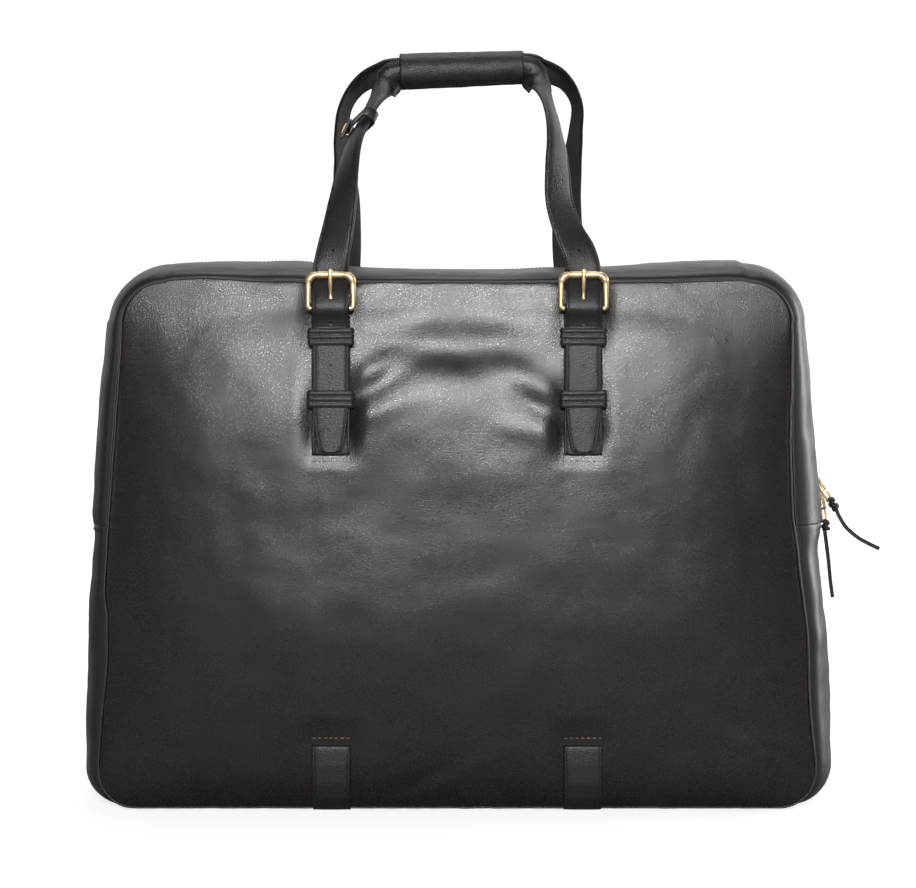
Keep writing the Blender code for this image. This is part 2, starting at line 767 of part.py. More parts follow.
def handle_stations(side):
    left, right = {"front": (FRONT_LEFT, FRONT_RIGHT), "rear": (REAR_LEFT, REAR_RIGHT)}[side]
    lean = GRIP_LEAN[side]
    sign = SIDES[side]
    turn = math.radians(lean)
    depth = STRAP_RING * math.cos(turn)
    rise = STRAP_RING * math.sin(turn)
    grip = []
    for share in (0.0, 0.5, 1.0):
        middle = GRIP_LEFT.lerp(GRIP_RIGHT, share)
        grip.append((middle.x, depth, middle.z + rise, lean, GRIP_CUP))
    stations = left + grip + right[::-1]
    return [(Vector((x, sign * d, z)), a, c) for x, d, z, a, c in stations]


def catmull(a, b, c, d, t):
    second, third = 2 * a - 5 * b + 4 * c - d, 3 * b - a - 3 * c + d
    return 0.5 * (2 * b + (c - a) * t + second * t**2 + third * t**3)


def handle_frames(side, steps=2):
    """[(point, lean, cup)] along a smooth curve through the stations."""
    stations = handle_stations(side)
    frames = []
    for i in range(len(stations) - 1):
        four = [stations[max(min(i + k, len(stations) - 1), 0)] for k in (-1, 0, 1, 2)]
        for j in range(steps):
            t = j / steps
            frames.append(tuple(catmull(*[s[k] for s in four], t) for k in range(3)))
    frames.append(stations[-1])
    return frames


def cut_frames(frames, start, end):
    """The frames between two distances along the curve, with new ones at both distances."""
    kept, gone = [], 0.0
    for before, after in zip(frames, frames[1:]):
        length = (after[0] - before[0]).length
        for share in sorted({0.0, (start - gone) / length, (end - gone) / length}):
            here = gone + share * length
            if 0 <= share < 1 and start - 1e-9 <= here <= end + 1e-9:
                kept.append(tuple(a + (b - a) * share for a, b in zip(before, after)))
        gone += length
    if end >= gone - 1e-9:
        kept.append(frames[-1])
    return kept


def frames_length(frames):
    return sum((b[0] - a[0]).length for a, b in zip(frames, frames[1:]))


def ribbon_axes(frames, i, sign):
    """Tangent, face normal and crosswise direction of a strap at frame i."""
    ahead = frames[min(i + 1, len(frames) - 1)][0]
    tangent = (ahead - frames[max(i - 1, 0)][0]).normalized()
    outside = Vector((-tangent.z, 0, tangent.x)).normalized()
    lean = math.radians(frames[i][1])
    normal = Vector((0, sign, 0)) * math.cos(lean) + outside * math.sin(lean)
    normal = (normal - tangent * normal.dot(tangent)).normalized()
    return tangent, normal, normal.cross(tangent)


def ribbon(name, frames, sign, finish):
    across = 4 if max(f[2] for f in frames) > 20 else 2

    def place(u, v):
        i = round(v * (len(frames) - 1))
        _, normal, crosswise = ribbon_axes(frames, i, sign)
        cup = math.radians(max(frames[i][2], 0.5))
        radius = STRAP_WIDTH / cup
        angle = (u - 0.5) * cup
        drop = radius * (1 - math.cos(angle))
        return frames[i][0] + crosswise * radius * math.sin(angle) - normal * drop

    return sheet(name, (across, len(frames) - 1), place, STRAP_LEATHER, finish)


def build_handles():
    for side, sign in SIDES.items():
        frames = handle_frames(side)
        length = frames_length(frames)
        flex_end = FLEX_LENGTH - 2 * GAP
        arch = cut_frames(frames, FLEX_LENGTH, length - FLEX_LENGTH)
        ribbon(f"handle_strap_{side}", arch, sign, "strap_leather")
        left = cut_frames(frames, FLEX_START, flex_end)
        ribbon(f"strap_flex_{side}_left", left, sign, "strap_leather")
        right = cut_frames(frames, length - flex_end, length - FLEX_START)
        ribbon(f"strap_flex_{side}_right", right, sign, "strap_leather")


def turned(name, profile, steps, finish, place):
    """A closed profile of (radius, height) points turned about its own Z."""
    mesh = bpy.data.meshes.new(name)
    made = bmesh.new()
    verts = [made.verts.new((r, 0, h)) for r, h in profile]
    for a, b in zip(verts, verts[1:] + verts[:1]):
        made.edges.new((a, b))
    made.to_mesh(mesh)
    made.free()
    obj = add_object(name, mesh, finish, place)
    screw = obj.modifiers.new("turn", "SCREW")
    screw.angle = 2 * math.pi
    screw.steps = steps
    screw.render_steps = steps
    screw.use_merge_vertices = True
    screw.merge_threshold = 1e-5
    return smooth(obj)


def build_grip():
    axis = GRIP_RIGHT - GRIP_LEFT
    half = axis.length / 2
    turn = axis.to_track_quat("Z", "Y").to_matrix().to_4x4()
    place = Matrix.Translation((GRIP_LEFT + GRIP_RIGHT) / 2) @ turn
    outer = [(radius, half * share) for radius, share in GRIP_PROFILE]
    profile = outer + [(GRIP_WALL_IN, -half), (GRIP_WALL_IN, half)]
    turned("grip_wrap", profile, 20, "strap_leather", place)
    mesh = bpy.data.meshes.new("grip_core")
    made = bmesh.new()
    sizes = {"radius1": CORE_RADIUS, "radius2": CORE_RADIUS, "depth": 2 * half - 0.008}
    bmesh.ops.create_cone(made, cap_ends=True, segments=12, **sizes)
    made.to_mesh(mesh)
    made.free()
    smooth(add_object("grip_core", mesh, "core", place))


def build_tag_loop():
    frames = handle_frames("front", 6)
    here = cut_frames(frames, TAG_PLACE - TAG_WIDTH, TAG_PLACE + TAG_WIDTH)
    i = len(here) // 2
    tangent, normal, crosswise = ribbon_axes(here, i, SIDES["front"])
    centre = here[i][0] - normal * TAG_DROP
    turn = Matrix((crosswise, normal, crosswise.cross(normal))).transposed().to_4x4()
    place = Matrix.Translation(centre) @ turn
    half_a, half_b, corner = TAG_INSIDE
    inner = rounded_box(half_a, half_b, corner)
    outer = rounded_box(half_a + TAG_LEATHER, half_b + TAG_LEATHER, corner + TAG_LEATHER)
    flat_solid("tag_loop_strap", [outer, inner], TAG_WIDTH, "strap_leather", place)
    wall = half_a + TAG_LEATHER / 2
    ring = [(wall + a, 0.0, b) for a, b in rounded_box(0.0019, 0.0060, 0.0010, 2)]
    points = [place @ Vector(p) for p in ring]
    wire("tag_buckle", points, 0.0006, "brass", closed=True, sides=1)


# ---- Zip sliders and pulls ----


def slider_frame(z):
    """Where a slider stands on the right side's chain: its middle, and the outward and upward ways."""
    slant = Vector((math.cos(TAPER_ANGLE), math.sin(TAPER_ANGLE)))
    low = chain_point((Vector((side_at(SIDE_SEAM), SIDE_SEAM)), slant, bulge_on_side(SIDE_SEAM)), 0)
    top = HIGH_CENTRE.y
    high = chain_point((Vector((side_at(top), top)), slant, bulge_on_side(top)), 0)
    up = (high - low).normalized()
    out = Vector((up.z, 0, -up.x))
    return low + up * ((z - low.z) / up.z), out, up


def build_slider(name, z):
    middle, out, up = slider_frame(z)
    place = Matrix.Translation(middle) @ Matrix((out, Vector((0, 1, 0)), up)).transposed().to_4x4()
    wide, web, low, high = SLIDER_HALF_WIDTH, SLIDER_WEB / 2, SLIDER_INNER, SLIDER_OUTER
    bevel = 0.001
    quarter = [(high, wide - bevel), (high - bevel, wide), (low, wide), (low, web)]
    half = quarter + [(-a, b) for a, b in quarter[::-1]]
    outline = half + [(a, -b) for a, b in half[::-1]]
    slider = flat_solid(name, [outline], SLIDER_LENGTH, "brass", place)
    eye = circle((BAIL_HEIGHT, 0), 0.0029, 14), circle((BAIL_HEIGHT, 0), 0.0014, 10)
    turn = Matrix.Rotation(math.pi / 2, 4, "X")
    bail = flat_solid(name + "_bail", eye, 0.0024, "brass", place @ turn)
    return join(slider, [bail])


def bail_centre(z):
    middle, out, _ = slider_frame(z)
    return middle + out * BAIL_HEIGHT


def build_pull(level, z, knot, thong):
    pivot = bail_centre(z)
    knot_middle = Vector((knot[0], 0, knot[1]))
    way = (knot_middle - pivot).normalized()
    cross = Vector((-way.z, 0, way.x))
    length = (knot_middle - pivot).length - KNOT_RADIUS * 1.25 - GAP
    wire_radius = 0.0006
    half = (length - 2 * wire_radius) / 2 + 0.0004
    ring = []
    for a, b in rounded_box(half, 0.0024, 0.0022, 3):
        ring.append(pivot + way * (a + half - 0.0006) + Vector((0, 1, 0)) * b)
    wire("zip_pull_" + level, ring, wire_radius, "brass", closed=True, sides=1)
    mesh = bpy.data.meshes.new("pull_knot_" + level)
    made = bmesh.new()
    bmesh.ops.create_uvsphere(made, u_segments=12, v_segments=8, radius=KNOT_RADIUS)
    made.to_mesh(mesh)
    made.free()
    ball = smooth(add_object("pull_knot_" + level, mesh, "strap_leather"))
    ball.matrix_world = (
        Matrix.Translation(knot_middle)
        @ Matrix((cross, Vector((0, 1, 0)), -way)).transposed().to_4x4()
        @ Matrix.Diagonal((0.95, 0.95, 1.2, 1))
    )
    points = [Vector((x, 0, z_)) for x, z_ in thong]
    curve = []
    for i in range(len(points) - 1):
        four = [points[max(min(i + k, len(points) - 1), 0)] for k in (-1, 0, 1, 2)]
        curve += [catmull(*four, j / 3) for j in range(3)]
    curve.append(points[-1])
    wire("pull_thong_" + level, curve, THONG_RADIUS, "strap_leather")


# ---- Inside ----


def build_inside():
    half = INSIDE_HALF_WIDTH
    low, high = BOARD_HEIGHTS
    box("base_board", (-half, -BOARD_HALF_DEPTH, low), (half, BOARD_HALF_DEPTH, high), "board")
    low, high = LINING_HEIGHTS
    tub = box("lining", (-half, -LINING_HALF_DEPTH, low), (half, LINING_HALF_DEPTH, high), "lining")
    made = bmesh.new()
    made.from_mesh(tub.data)
    top = [face for face in made.faces if face.normal.z > 0.5]
    bmesh.ops.delete(made, geom=top, context="FACES")
    made.normal_update()
    made.to_mesh(tub.data)
    made.free()
    wall = tub.modifiers.new("wall", "SOLIDIFY")
    wall.thickness = LINING_THICKNESS
    wall.offset = -1


clear_scene()
PARTS = new_collection("travel_bag")
CUTTERS = new_collection("cutters")
build_panels()
build_gussets()
build_zip()
build_slider("zip_slider_upper", UPPER_SLIDER)
build_slider("zip_slider_lower", LOWER_SLIDER)
build_pull("upper", UPPER_SLIDER, UPPER_KNOT, UPPER_THONG)
build_pull("lower", LOWER_SLIDER, LOWER_KNOT, LOWER_THONG)
build_support_straps()
build_buckles()
build_keepers()
build_tails()
build_handles()
build_grip()
build_tag_loop()
build_inside()
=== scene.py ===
"""The looks of a leather travel bag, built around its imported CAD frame.

Metres, +Z up, the front towards -Y. Depths are distances out from the bag's middle plane, towards
either face. Sizes that the frame's design also has are repeated here under the same names.
"""

import math

import bmesh
import bpy
import numpy as np
from mathutils import Matrix, Vector, noise


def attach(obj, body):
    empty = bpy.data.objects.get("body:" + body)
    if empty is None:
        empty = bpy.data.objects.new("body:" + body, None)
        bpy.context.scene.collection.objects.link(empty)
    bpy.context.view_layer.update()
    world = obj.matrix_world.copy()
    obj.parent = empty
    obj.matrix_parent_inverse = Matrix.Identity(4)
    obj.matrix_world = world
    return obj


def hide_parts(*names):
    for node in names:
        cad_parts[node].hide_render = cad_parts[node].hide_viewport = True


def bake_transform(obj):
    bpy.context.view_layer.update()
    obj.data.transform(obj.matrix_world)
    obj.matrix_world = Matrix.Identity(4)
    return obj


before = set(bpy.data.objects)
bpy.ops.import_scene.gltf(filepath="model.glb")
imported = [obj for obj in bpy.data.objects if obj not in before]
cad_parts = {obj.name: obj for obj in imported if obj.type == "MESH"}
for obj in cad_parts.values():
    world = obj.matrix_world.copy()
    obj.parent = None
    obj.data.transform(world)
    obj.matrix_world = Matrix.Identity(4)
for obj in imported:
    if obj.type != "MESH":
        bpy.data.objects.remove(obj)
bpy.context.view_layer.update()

# The bag's body
BASE_HALF_WIDTH = 0.3035
SIDE_TAPER = 0.0506
SEAM_LOW = 0.0026
SEAM_HIGH = 0.4445
LOW_CORNER = 0.030
HIGH_CORNER = 0.036
SEAM_DEPTH = 0.083
FACE_DEPTH = 0.0955
SIDE_SEAM = 0.2385
GUSSET_REACH = 0.0812
BULGE_SEAM = 0.0277
BULGE_HIGH = 0.0197
BULGE_LOW = 0.0227
BULGE_MIDDLE = 0.0145
TAPER_ANGLE = math.atan(SIDE_TAPER)

# The zip
CHAIN_BELOW = 0.0022
TAPE_OUTER = 0.0137
TAPE_THICKNESS = 0.0005
TOOTH_PITCH = 0.0024
UPPER_SLIDER = 0.2700
LOWER_SLIDER = 0.2565
BAIL_HEIGHT = 0.0056

# Straps and buckles
STRAP_X = 0.1055
STRAP_WIDTH = 0.030
STRAP_LEATHER = 0.0030
SUPPORT_WIDTH = 0.032
SUPPORT_LEATHER = 0.0022
SUPPORT_DEPTH = 0.0986
INSIDE_DEPTH = 0.0905
SLIT_HIGH = 0.3000
SLIT_LOW = 0.0560
BAR_DEPTH = 0.1019
HEEL_BAR = 0.4223
TOP_BAR = 0.4503
BAR_RADIUS = 0.0019
FRAME_HALF_WIDTH = 0.0186
ROLLER_RADIUS = 0.0029
ROLLER_LENGTH = 0.0225
LOOP_RADIUS = 0.0033
KEEPER_DEPTH = 0.10025
KEEPER_WIDTH = 0.039
KEEPER_HEIGHT = 0.0145
UPPER_KEEPER = 0.3986
LOWER_KEEPER = 0.3466
EDGE_TO_STITCH = 0.0025
STITCH_PITCH = 0.0034
PRONG_SLOT = (0.0048, 0.0160, 0.0140)
PRONG_SLOT_LEVEL = 0.4370
HOLE_RADIUS = 0.00155

# The grip and the tag loop
GRIP_LEFT = Vector((-0.0503, 0, 0.6337))
GRIP_RIGHT = Vector((0.0587, 0, 0.6377))
STRAP_RING = 0.0106
TAG_PLACE = 0.139
TAG_DROP = 0.0018

# Where the handle straps bend between the bag and the swaying handle
FLEX_LOW = 0.4575

SIDES = {"front": -1, "rear": 1}
ENDS = {"left": -1, "right": 1}
ACROSS = Vector((1, 0, 0))
DEPTHWAYS = Vector((0, 1, 0))
UPWARD = Vector((0, 0, 1))
BAG_MIDDLE = Vector((0, 0, 0.22))

# Leather as it shows, thinner than the frame's solids, and the stitches
PANEL_SKIN = 0.0018
GUSSET_SKIN = 0.0012
STITCH_RADIUS = 0.00052
STITCH_SHARE = 0.66  # of its pitch that a stitch is long
STITCH_SINK = 0.2  # of its radius

# Stations up each leg of a handle strap, from its buckle to the grip:
# x, depth, z, lean of the face from square-on towards the arch's outside, and cupping, in degrees
FRONT_LEFT = [
    (-0.1055, 0.0969, 0.4575, 4, 0),
    (-0.1035, 0.0960, 0.4700, 14, 0),
    (-0.0995, 0.0930, 0.4920, 26, 4),
    (-0.0962, 0.0880, 0.5163, 36, 12),
    (-0.0940, 0.0790, 0.5400, 46, 24),
    (-0.0905, 0.0660, 0.5625, 56, 42),
    (-0.0840, 0.0500, 0.5815, 63, 62),
    (-0.0765, 0.0350, 0.6000, 64, 90),
    (-0.0680, 0.0220, 0.6150, 44, 122),
    (-0.0585, 0.0130, 0.6240, 2, 150),
]
FRONT_RIGHT = [
    (0.1050, 0.0969, 0.4575, 4, 0),
    (0.1017, 0.0960, 0.4700, 16, 0),
    (0.0935, 0.0930, 0.4880, 30, 4),
    (0.0865, 0.0880, 0.5130, 37, 12),
    (0.0860, 0.0790, 0.5400, 42, 24),
    (0.0868, 0.0660, 0.5650, 51, 42),
    (0.0850, 0.0500, 0.5860, 62, 62),
    (0.0812, 0.0350, 0.6040, 66, 90),
    (0.0755, 0.0220, 0.6190, 46, 122),
    (0.0668, 0.0130, 0.6275, 2, 150),
]
REAR_LEFT = [
    (-0.1055, 0.0969, 0.4575, 4, 0),
    (-0.1040, 0.0965, 0.4750, 12, 0),
    (-0.1030, 0.0945, 0.5000, 24, 4),
    (-0.1028, 0.0900, 0.5300, 38, 10),
    (-0.1050, 0.0800, 0.5590, 52, 20),
    (-0.1070, 0.0640, 0.5840, 62, 36),
    (-0.1045, 0.0480, 0.6050, 68, 58),
    (-0.0960, 0.0340, 0.6210, 66, 86),
    (-0.0830, 0.0220, 0.6320, 56, 118),
    (-0.0660, 0.0130, 0.6375, 38, 150),
]
REAR_RIGHT = [
    (0.1055, 0.0969, 0.4575, 4, 0),
    (0.1035, 0.0965, 0.4750, 12, 0),
    (0.1020, 0.0945, 0.5000, 24, 4),
    (0.1025, 0.0900, 0.5300, 38, 10),
    (0.1062, 0.0800, 0.5590, 52, 20),
    (0.1100, 0.0640, 0.5860, 64, 36),
    (0.1110, 0.0480, 0.6080, 72, 58),
    (0.1040, 0.0340, 0.6245, 70, 86),
    (0.0910, 0.0220, 0.6355, 56, 118),
    (0.0740, 0.0130, 0.6405, 38, 150),
]
GRIP_LEAN = {"front": -30, "rear": 30}
GRIP_CUP = 150  # looser than in the frame, whose straps are plainer there

# A strap's buckled end, from its tip up to where the handle leaves the buckle: depth and z
TAIL_PATH = [
    (0.1015, 0.3024),
    (0.1015, 0.3200),
    (0.1015, 0.3400),
    (0.1015, 0.3600),
    (0.1015, 0.3850),
    (0.1015, 0.4050),
    (0.1020, 0.4085),
    (0.1033, 0.4125),
    (0.1052, 0.4160),
    (0.1073, 0.4192),
    (0.1082, 0.4223),
    (0.1079, 0.4258),
    (0.1066, 0.4300),
    (0.1045, 0.4350),
    (0.1018, 0.4405),
    (0.0990, 0.4450),
    (0.0974, 0.4482),
    (0.0969, 0.4515),
]
# A prong's middle, from the heel bar to its end: depth and z
PRONG_LINE = [
    (0.1030, 0.4250),
    (0.1026, 0.4310),
    (0.1030, 0.4360),
    (0.1046, 0.4400),
    (0.1060, 0.4435),
    (0.1067, 0.4475),
    (0.1069, 0.4505),
    (0.1066, 0.4542),
]
TIP_LENGTH = 0.036
TIP_HALF_WIDTH = 0.0098
TIP_CORNER = 0.0035
TAIL_HOLES = (0.4092, 0.3742)
HANDLE_HOLE = 0.0115  # distance of the spare hole above a handle strap's first station

# The free ends of the two zip pulls: x and z down each thong, and the knots above them
UPPER_THONG = [
    (0.3345, 0.2475),
    (0.3365, 0.2425),
    (0.3430, 0.2322),
    (0.3528, 0.2236),
    (0.3625, 0.2180),
    (0.3722, 0.2134),
]
LOWER_THONG = [
    (0.3242, 0.2292),
    (0.3248, 0.2240),
    (0.3262, 0.2130),
    (0.3275, 0.2020),
    (0.3290, 0.1860),
    (0.3310, 0.1705),
]
UPPER_KNOT = Vector((0.3312, 0, 0.2530))
LOWER_KNOT = Vector((0.3248, 0, 0.2345))
THONG_WIDTH = 0.0035
THONG_THICKNESS = 0.0014

# How far the soft body strays from the plain outline: place along it, and distance outwards
SEAM_IN_RIGHT = [(0.02, 0.001), (0.09, -0.002), (0.145, -0.001), (0.215, -0.0056), (0.25, -0.0084),
                 (0.306, -0.0076), (0.33, -0.0062), (0.355, -0.0038), (0.40, -0.0012), (0.43, 0)]
SEAM_IN_LEFT = [(0.02, 0.001), (0.067, 0), (0.127, -0.0024), (0.156, -0.001), (0.1856, 0.003),
                (0.2454, 0.0025), (0.285, 0.0015), (0.332, 0.0004), (0.39, -0.0005), (0.43, 0)]
RIDGE_IN_RIGHT = [(0.05, 0), (0.08, 0.0007), (0.141, 0), (0.174, -0.0023), (0.2025, -0.004),
                  (0.214, -0.0054), (0.238, -0.001), (0.26, 0)]
RIDGE_IN_LEFT = [(0.03, -0.002), (0.09, -0.0007), (0.163, -0.0015), (0.198, -0.0025),
                 (0.2316, -0.0041), (0.25, -0.0008), (0.2968, 0.0013), (0.33, 0.0027), (0.40, 0.002)]
TOP_SEAM_LIFT = [(-0.27, 0), (-0.215, 0.0036), (-0.16, 0.001), (-0.09, 0), (0.15, 0), (0.235, 0.0016),
                 (0.27, 0)]
TOP_RIDGE_LIFT = [(-0.27, 0), (-0.2, 0.002), (-0.14, 0.0042), (-0.09, 0.001), (0, 0), (0.1, 0.0005),
                  (0.2, 0.0015), (0.23, 0.0028), (0.27, 0)]

# Dents (negative) and swells in a main panel: x, z, reach along, reach across, turn in degrees, height
FRONT_RELIEF = [
    (0.002, 0.388, 0.036, 0.0125, 0, -0.0042),
    (-0.030, 0.398, 0.026, 0.010, 12, -0.0012),
    (0.035, 0.400, 0.026, 0.010, -10, -0.0012),
    (-0.078, 0.352, 0.024, 0.006, 28, -0.0016),
    (-0.072, 0.372, 0.022, 0.006, 34, 0.0012),
    (-0.070, 0.335, 0.030, 0.006, 18, 0.0009),
    (0.076, 0.338, 0.026, 0.006, -24, -0.0014),
    (0.074, 0.356, 0.024, 0.007, -30, 0.0012),
    (0.070, 0.318, 0.030, 0.007, -12, 0.0009),
    (0.000, 0.345, 0.060, 0.020, 0, 0.0008),
    (-0.200, 0.385, 0.050, 0.024, 8, 0.0012),
    (0.205, 0.392, 0.046, 0.022, -6, 0.0012),
    (-0.035, 0.022, 0.034, 0.006, 24, -0.0022),
    (-0.010, 0.030, 0.034, 0.006, 24, 0.0012),
    (0.285, 0.240, 0.020, 0.012, 20, -0.0020),
    (0.262, 0.065, 0.034, 0.007, -24, -0.0016),
    (0.270, 0.045, 0.030, 0.006, -30, 0.0014),
    (0.040, 0.180, 0.120, 0.050, 10, 0.0010),
    (-0.160, 0.150, 0.090, 0.040, -8, 0.0010),
]
REAR_RELIEF = [
    (0.030, 0.380, 0.040, 0.014, -6, -0.0028),
    (-0.076, 0.350, 0.026, 0.007, 24, -0.0014),
    (0.078, 0.345, 0.026, 0.007, -26, -0.0014),
    (-0.190, 0.388, 0.050, 0.024, 8, 0.0012),
    (0.200, 0.380, 0.050, 0.024, -8, 0.0012),
    (0.060, 0.028, 0.034, 0.007, -20, -0.0018),
    (-0.050, 0.170, 0.110, 0.050, -8, 0.0012),
    (0.180, 0.150, 0.090, 0.040, 12, 0.0010),
]


# ---- Materials ----


def shader_of(name):
    """A new material's node tree and its Principled shader."""
    made = bpy.data.materials.new(name)
    made.use_nodes = True
    return made, made.node_tree, made.node_tree.nodes["Principled BSDF"]


def node(tree, kind, settings=None, **inputs):
    """A node with the given input values or links. Spaces are underscores, and n2 is input number 2."""
    made = tree.nodes.new(kind)
    for key, value in (settings or {}).items():
        setattr(made, key, value)
    for key, value in inputs.items():
        numbered = key[0] == "n" and key[1:].isdigit()
        socket = made.inputs[int(key[1:]) if numbered else key.replace("_", " ")]
        if isinstance(value, bpy.types.NodeSocket):
            tree.links.new(value, socket)
        else:
            socket.default_value = value
    return made


def spread(tree, value, low, high, to_low=0.0, to_high=1.0):
    """Value's stretch from low to high, mapped smoothly to another."""
    ends = {"From_Min": low, "From_Max": high, "To_Min": to_low, "To_Max": to_high}
    made = node(tree, "ShaderNodeMapRange", {"interpolation_type": "SMOOTHSTEP"}, Value=value, **ends)
    return made.outputs["Result"]


def blend_colours(tree, share, first, second):
    """The first colour where share is 0, the second where it is 1."""
    made = node(tree, "ShaderNodeMix", {"data_type": "RGBA"}, n0=share)
    for socket, value in ((made.inputs[6], first), (made.inputs[7], second)):
        if isinstance(value, bpy.types.NodeSocket):
            tree.links.new(value, socket)
        else:
            socket.default_value = (*value, 1)
    return made.outputs[2]


def arithmetic(tree, operation, *values):
    inputs = {f"n{i}": value for i, value in enumerate(values)}
    return node(tree, "ShaderNodeMath", {"operation": operation}, **inputs).outputs[0]


def object_place(tree):
    return node(tree, "ShaderNodeTexCoord").outputs["Object"]


def grains(tree, place, scale, detail, roughness=0.5):
    """Noise of about this many grains a metre."""
    made = node(tree, "ShaderNodeTexNoise", Vector=place, Scale=scale, Detail=detail, Roughness=roughness)
    return made.outputs["Fac"]


def finish_shader(tree, shader, tone, rough, height, strength, distance):
    """Links a colour, a roughness, and a height that becomes bump."""
    tree.links.new(tone, shader.inputs["Base Color"])
    tree.links.new(rough, shader.inputs["Roughness"])
    bump = node(tree, "ShaderNodeBump", Strength=strength, Distance=distance, Height=height)
    tree.links.new(bump.outputs["Normal"], shader.inputs["Normal"])


def leather(name, colour, painted_crease_shade, grain, roughness, depth):
    """Grained leather: pebbles about 1/grain across, creases between them in a darker colour that is painted
    shade, and slow changes of tone.
    """
    made, tree, shader = shader_of(name)
    place = object_place(tree)
    wander = node(tree, "ShaderNodeTexNoise", Vector=place, Scale=grain * 0.45, Detail=3.0)
    moved = node(tree, "ShaderNodeVectorMath", {"operation": "MULTIPLY_ADD"})
    tree.links.new(wander.outputs["Color"], moved.inputs[0])
    moved.inputs[1].default_value = (0.9 / grain,) * 3
    tree.links.new(place, moved.inputs[2])
    bent = moved.outputs[0]
    cells = node(tree, "ShaderNodeTexVoronoi", {"feature": "DISTANCE_TO_EDGE"}, Vector=bent, Scale=grain)
    small = node(tree, "ShaderNodeTexVoronoi", {"feature": "SMOOTH_F1"}, Vector=bent, Scale=grain * 2.3)
    fine = grains(tree, place, grain * 5, 2.0)
    slow = grains(tree, place, 16.0, 4.0, 0.6)
    pebble = spread(tree, cells.outputs["Distance"], 0.0, 0.32)
    height = arithmetic(tree, "MULTIPLY_ADD", small.outputs["Distance"], -0.45, pebble)
    height = arithmetic(tree, "MULTIPLY_ADD", fine, 0.25, height)
    # The creases take the darker colour: painted shade in the grain's hollows.
    tone = blend_colours(tree, pebble, painted_crease_shade, colour)
    worn = tuple(c * 1.5 for c in colour)
    tone = blend_colours(tree, spread(tree, slow, 0.45, 0.75, 0.0, 0.3), tone, worn)
    patchy = spread(tree, slow, 0.3, 0.7, 0.035, -0.015)
    rough = arithmetic(tree, "ADD", spread(tree, pebble, 0.0, 1.0, roughness + 0.07, roughness), patchy)
    finish_shader(tree, shader, tone, rough, height, depth, 0.45 / grain)
    return made


def brass(name):
    """Satin brass with faint brushing, handling marks and a little tarnish."""
    made, tree, shader = shader_of(name)
    place = object_place(tree)
    brushed = grains(tree, place, 2600.0, 2.0)
    marks = grains(tree, place, 240.0, 5.0, 0.65)
    tone = blend_colours(tree, spread(tree, marks, 0.35, 0.7), (0.84, 0.66, 0.41), (0.68, 0.50, 0.28))
    shader.inputs["Metallic"].default_value = 1.0
    finish_shader(tree, shader, tone, spread(tree, marks, 0.3, 0.7, 0.36, 0.50), brushed, 0.10, 0.0002)
    return made


def woven(name, light, dark, threads):
    """A plain weave of this many threads a metre."""
    made, tree, shader = shader_of(name)
    place = object_place(tree)
    turn = node(tree, "ShaderNodeMapping", Vector=place, Scale=(threads, threads, threads)).outputs["Vector"]
    waves = []
    for axis in ("X", "Y", "Z"):
        settings = {"bands_direction": axis}
        wave = node(tree, "ShaderNodeTexWave", settings, Vector=turn, Scale=0.32, Distortion=0.6)
        waves.append(wave.outputs["Fac"])
    cloth = arithmetic(tree, "ADD", arithmetic(tree, "MULTIPLY", waves[0], waves[2]), waves[1])
    fuzz = grains(tree, place, 900.0, 3.0)
    share = spread(tree, cloth, 0.2, 1.4)
    tone = blend_colours(tree, share, dark, light)
    height = arithmetic(tree, "MULTIPLY_ADD", fuzz, 0.4, share)
    finish_shader(tree, shader, tone, spread(tree, fuzz, 0.3, 0.7, 0.80, 0.95), height, 0.5, 0.0004)
    shader.inputs["Sheen Weight"].default_value = 0.15
    return made


def thread(name, light, dark):
    """Waxed thread, its tone changing from stitch to stitch."""
    made, tree, shader = shader_of(name)
    place = object_place(tree)
    tones = grains(tree, place, 420.0, 2.0)
    ply = grains(tree, place, 3600.0, 1.0)
    tone = blend_colours(tree, spread(tree, tones, 0.35, 0.65), dark, light)
    finish_shader(tree, shader, tone, spread(tree, ply, 0.3, 0.7, 0.45, 0.65), ply, 0.35, 0.0002)
    return made


def pressed_board(name):
    """Stiff fibre board, flecked and slightly uneven."""
    made, tree, shader = shader_of(name)
    place = object_place(tree)
    flecks = node(tree, "ShaderNodeTexVoronoi", Vector=place, Scale=260.0)
    fibres = grains(tree, place, 500.0, 4.0)
    share = spread(tree, flecks.outputs["Distance"], 0.1, 0.7)
    tone = blend_colours(tree, share, (0.22, 0.17, 0.11), (0.34, 0.27, 0.19))
    finish_shader(tree, shader, tone, spread(tree, fibres, 0.3, 0.7, 0.70, 0.90), fibres, 0.3, 0.0003)
    return made


# Each leather's second colour is painted shade, laid in the creases of its grain.
PANEL_LEATHER = leather("pebbled leather", (0.0175, 0.0122, 0.0100), (0.003, 0.0022, 0.0018), 520, 0.25, 0.10)
GUSSET_LEATHER = leather("gusset leather", (0.017, 0.016, 0.0165), (0.006, 0.0055, 0.0058), 800, 0.36, 0.06)
STRAP_LEATHER_SKIN = leather("strap leather", (0.014, 0.014, 0.016), (0.004, 0.004, 0.005), 500, 0.37, 0.17)
GRIP_LEATHER = leather("grip leather", (0.013, 0.013, 0.014), (0.003, 0.003, 0.003), 480, 0.44, 0.17)
SUEDE = leather("suede lining", (0.040, 0.037, 0.034), (0.022, 0.020, 0.018), 2400, 0.85, 0.35)
EDGE_PAINT = leather("painted edge", (0.026, 0.025, 0.024), (0.016, 0.015, 0.015), 1800, 0.38, 0.12)
BRASS = brass("satin brass")
TAPE_CLOTH = woven("zip tape cloth", (0.030, 0.028, 0.027), (0.008, 0.008, 0.008), 1500)
LINING_CLOTH = woven("lining cloth", (0.16, 0.13, 0.105), (0.09, 0.075, 0.06), 1100)
CORE_CORD = woven("cord core", (0.26, 0.22, 0.17), (0.13, 0.11, 0.08), 700)
BOARD = pressed_board("base board fibre")
BLACK_THREAD = thread("black thread", (0.005, 0.005, 0.006), (0.002, 0.002, 0.002))
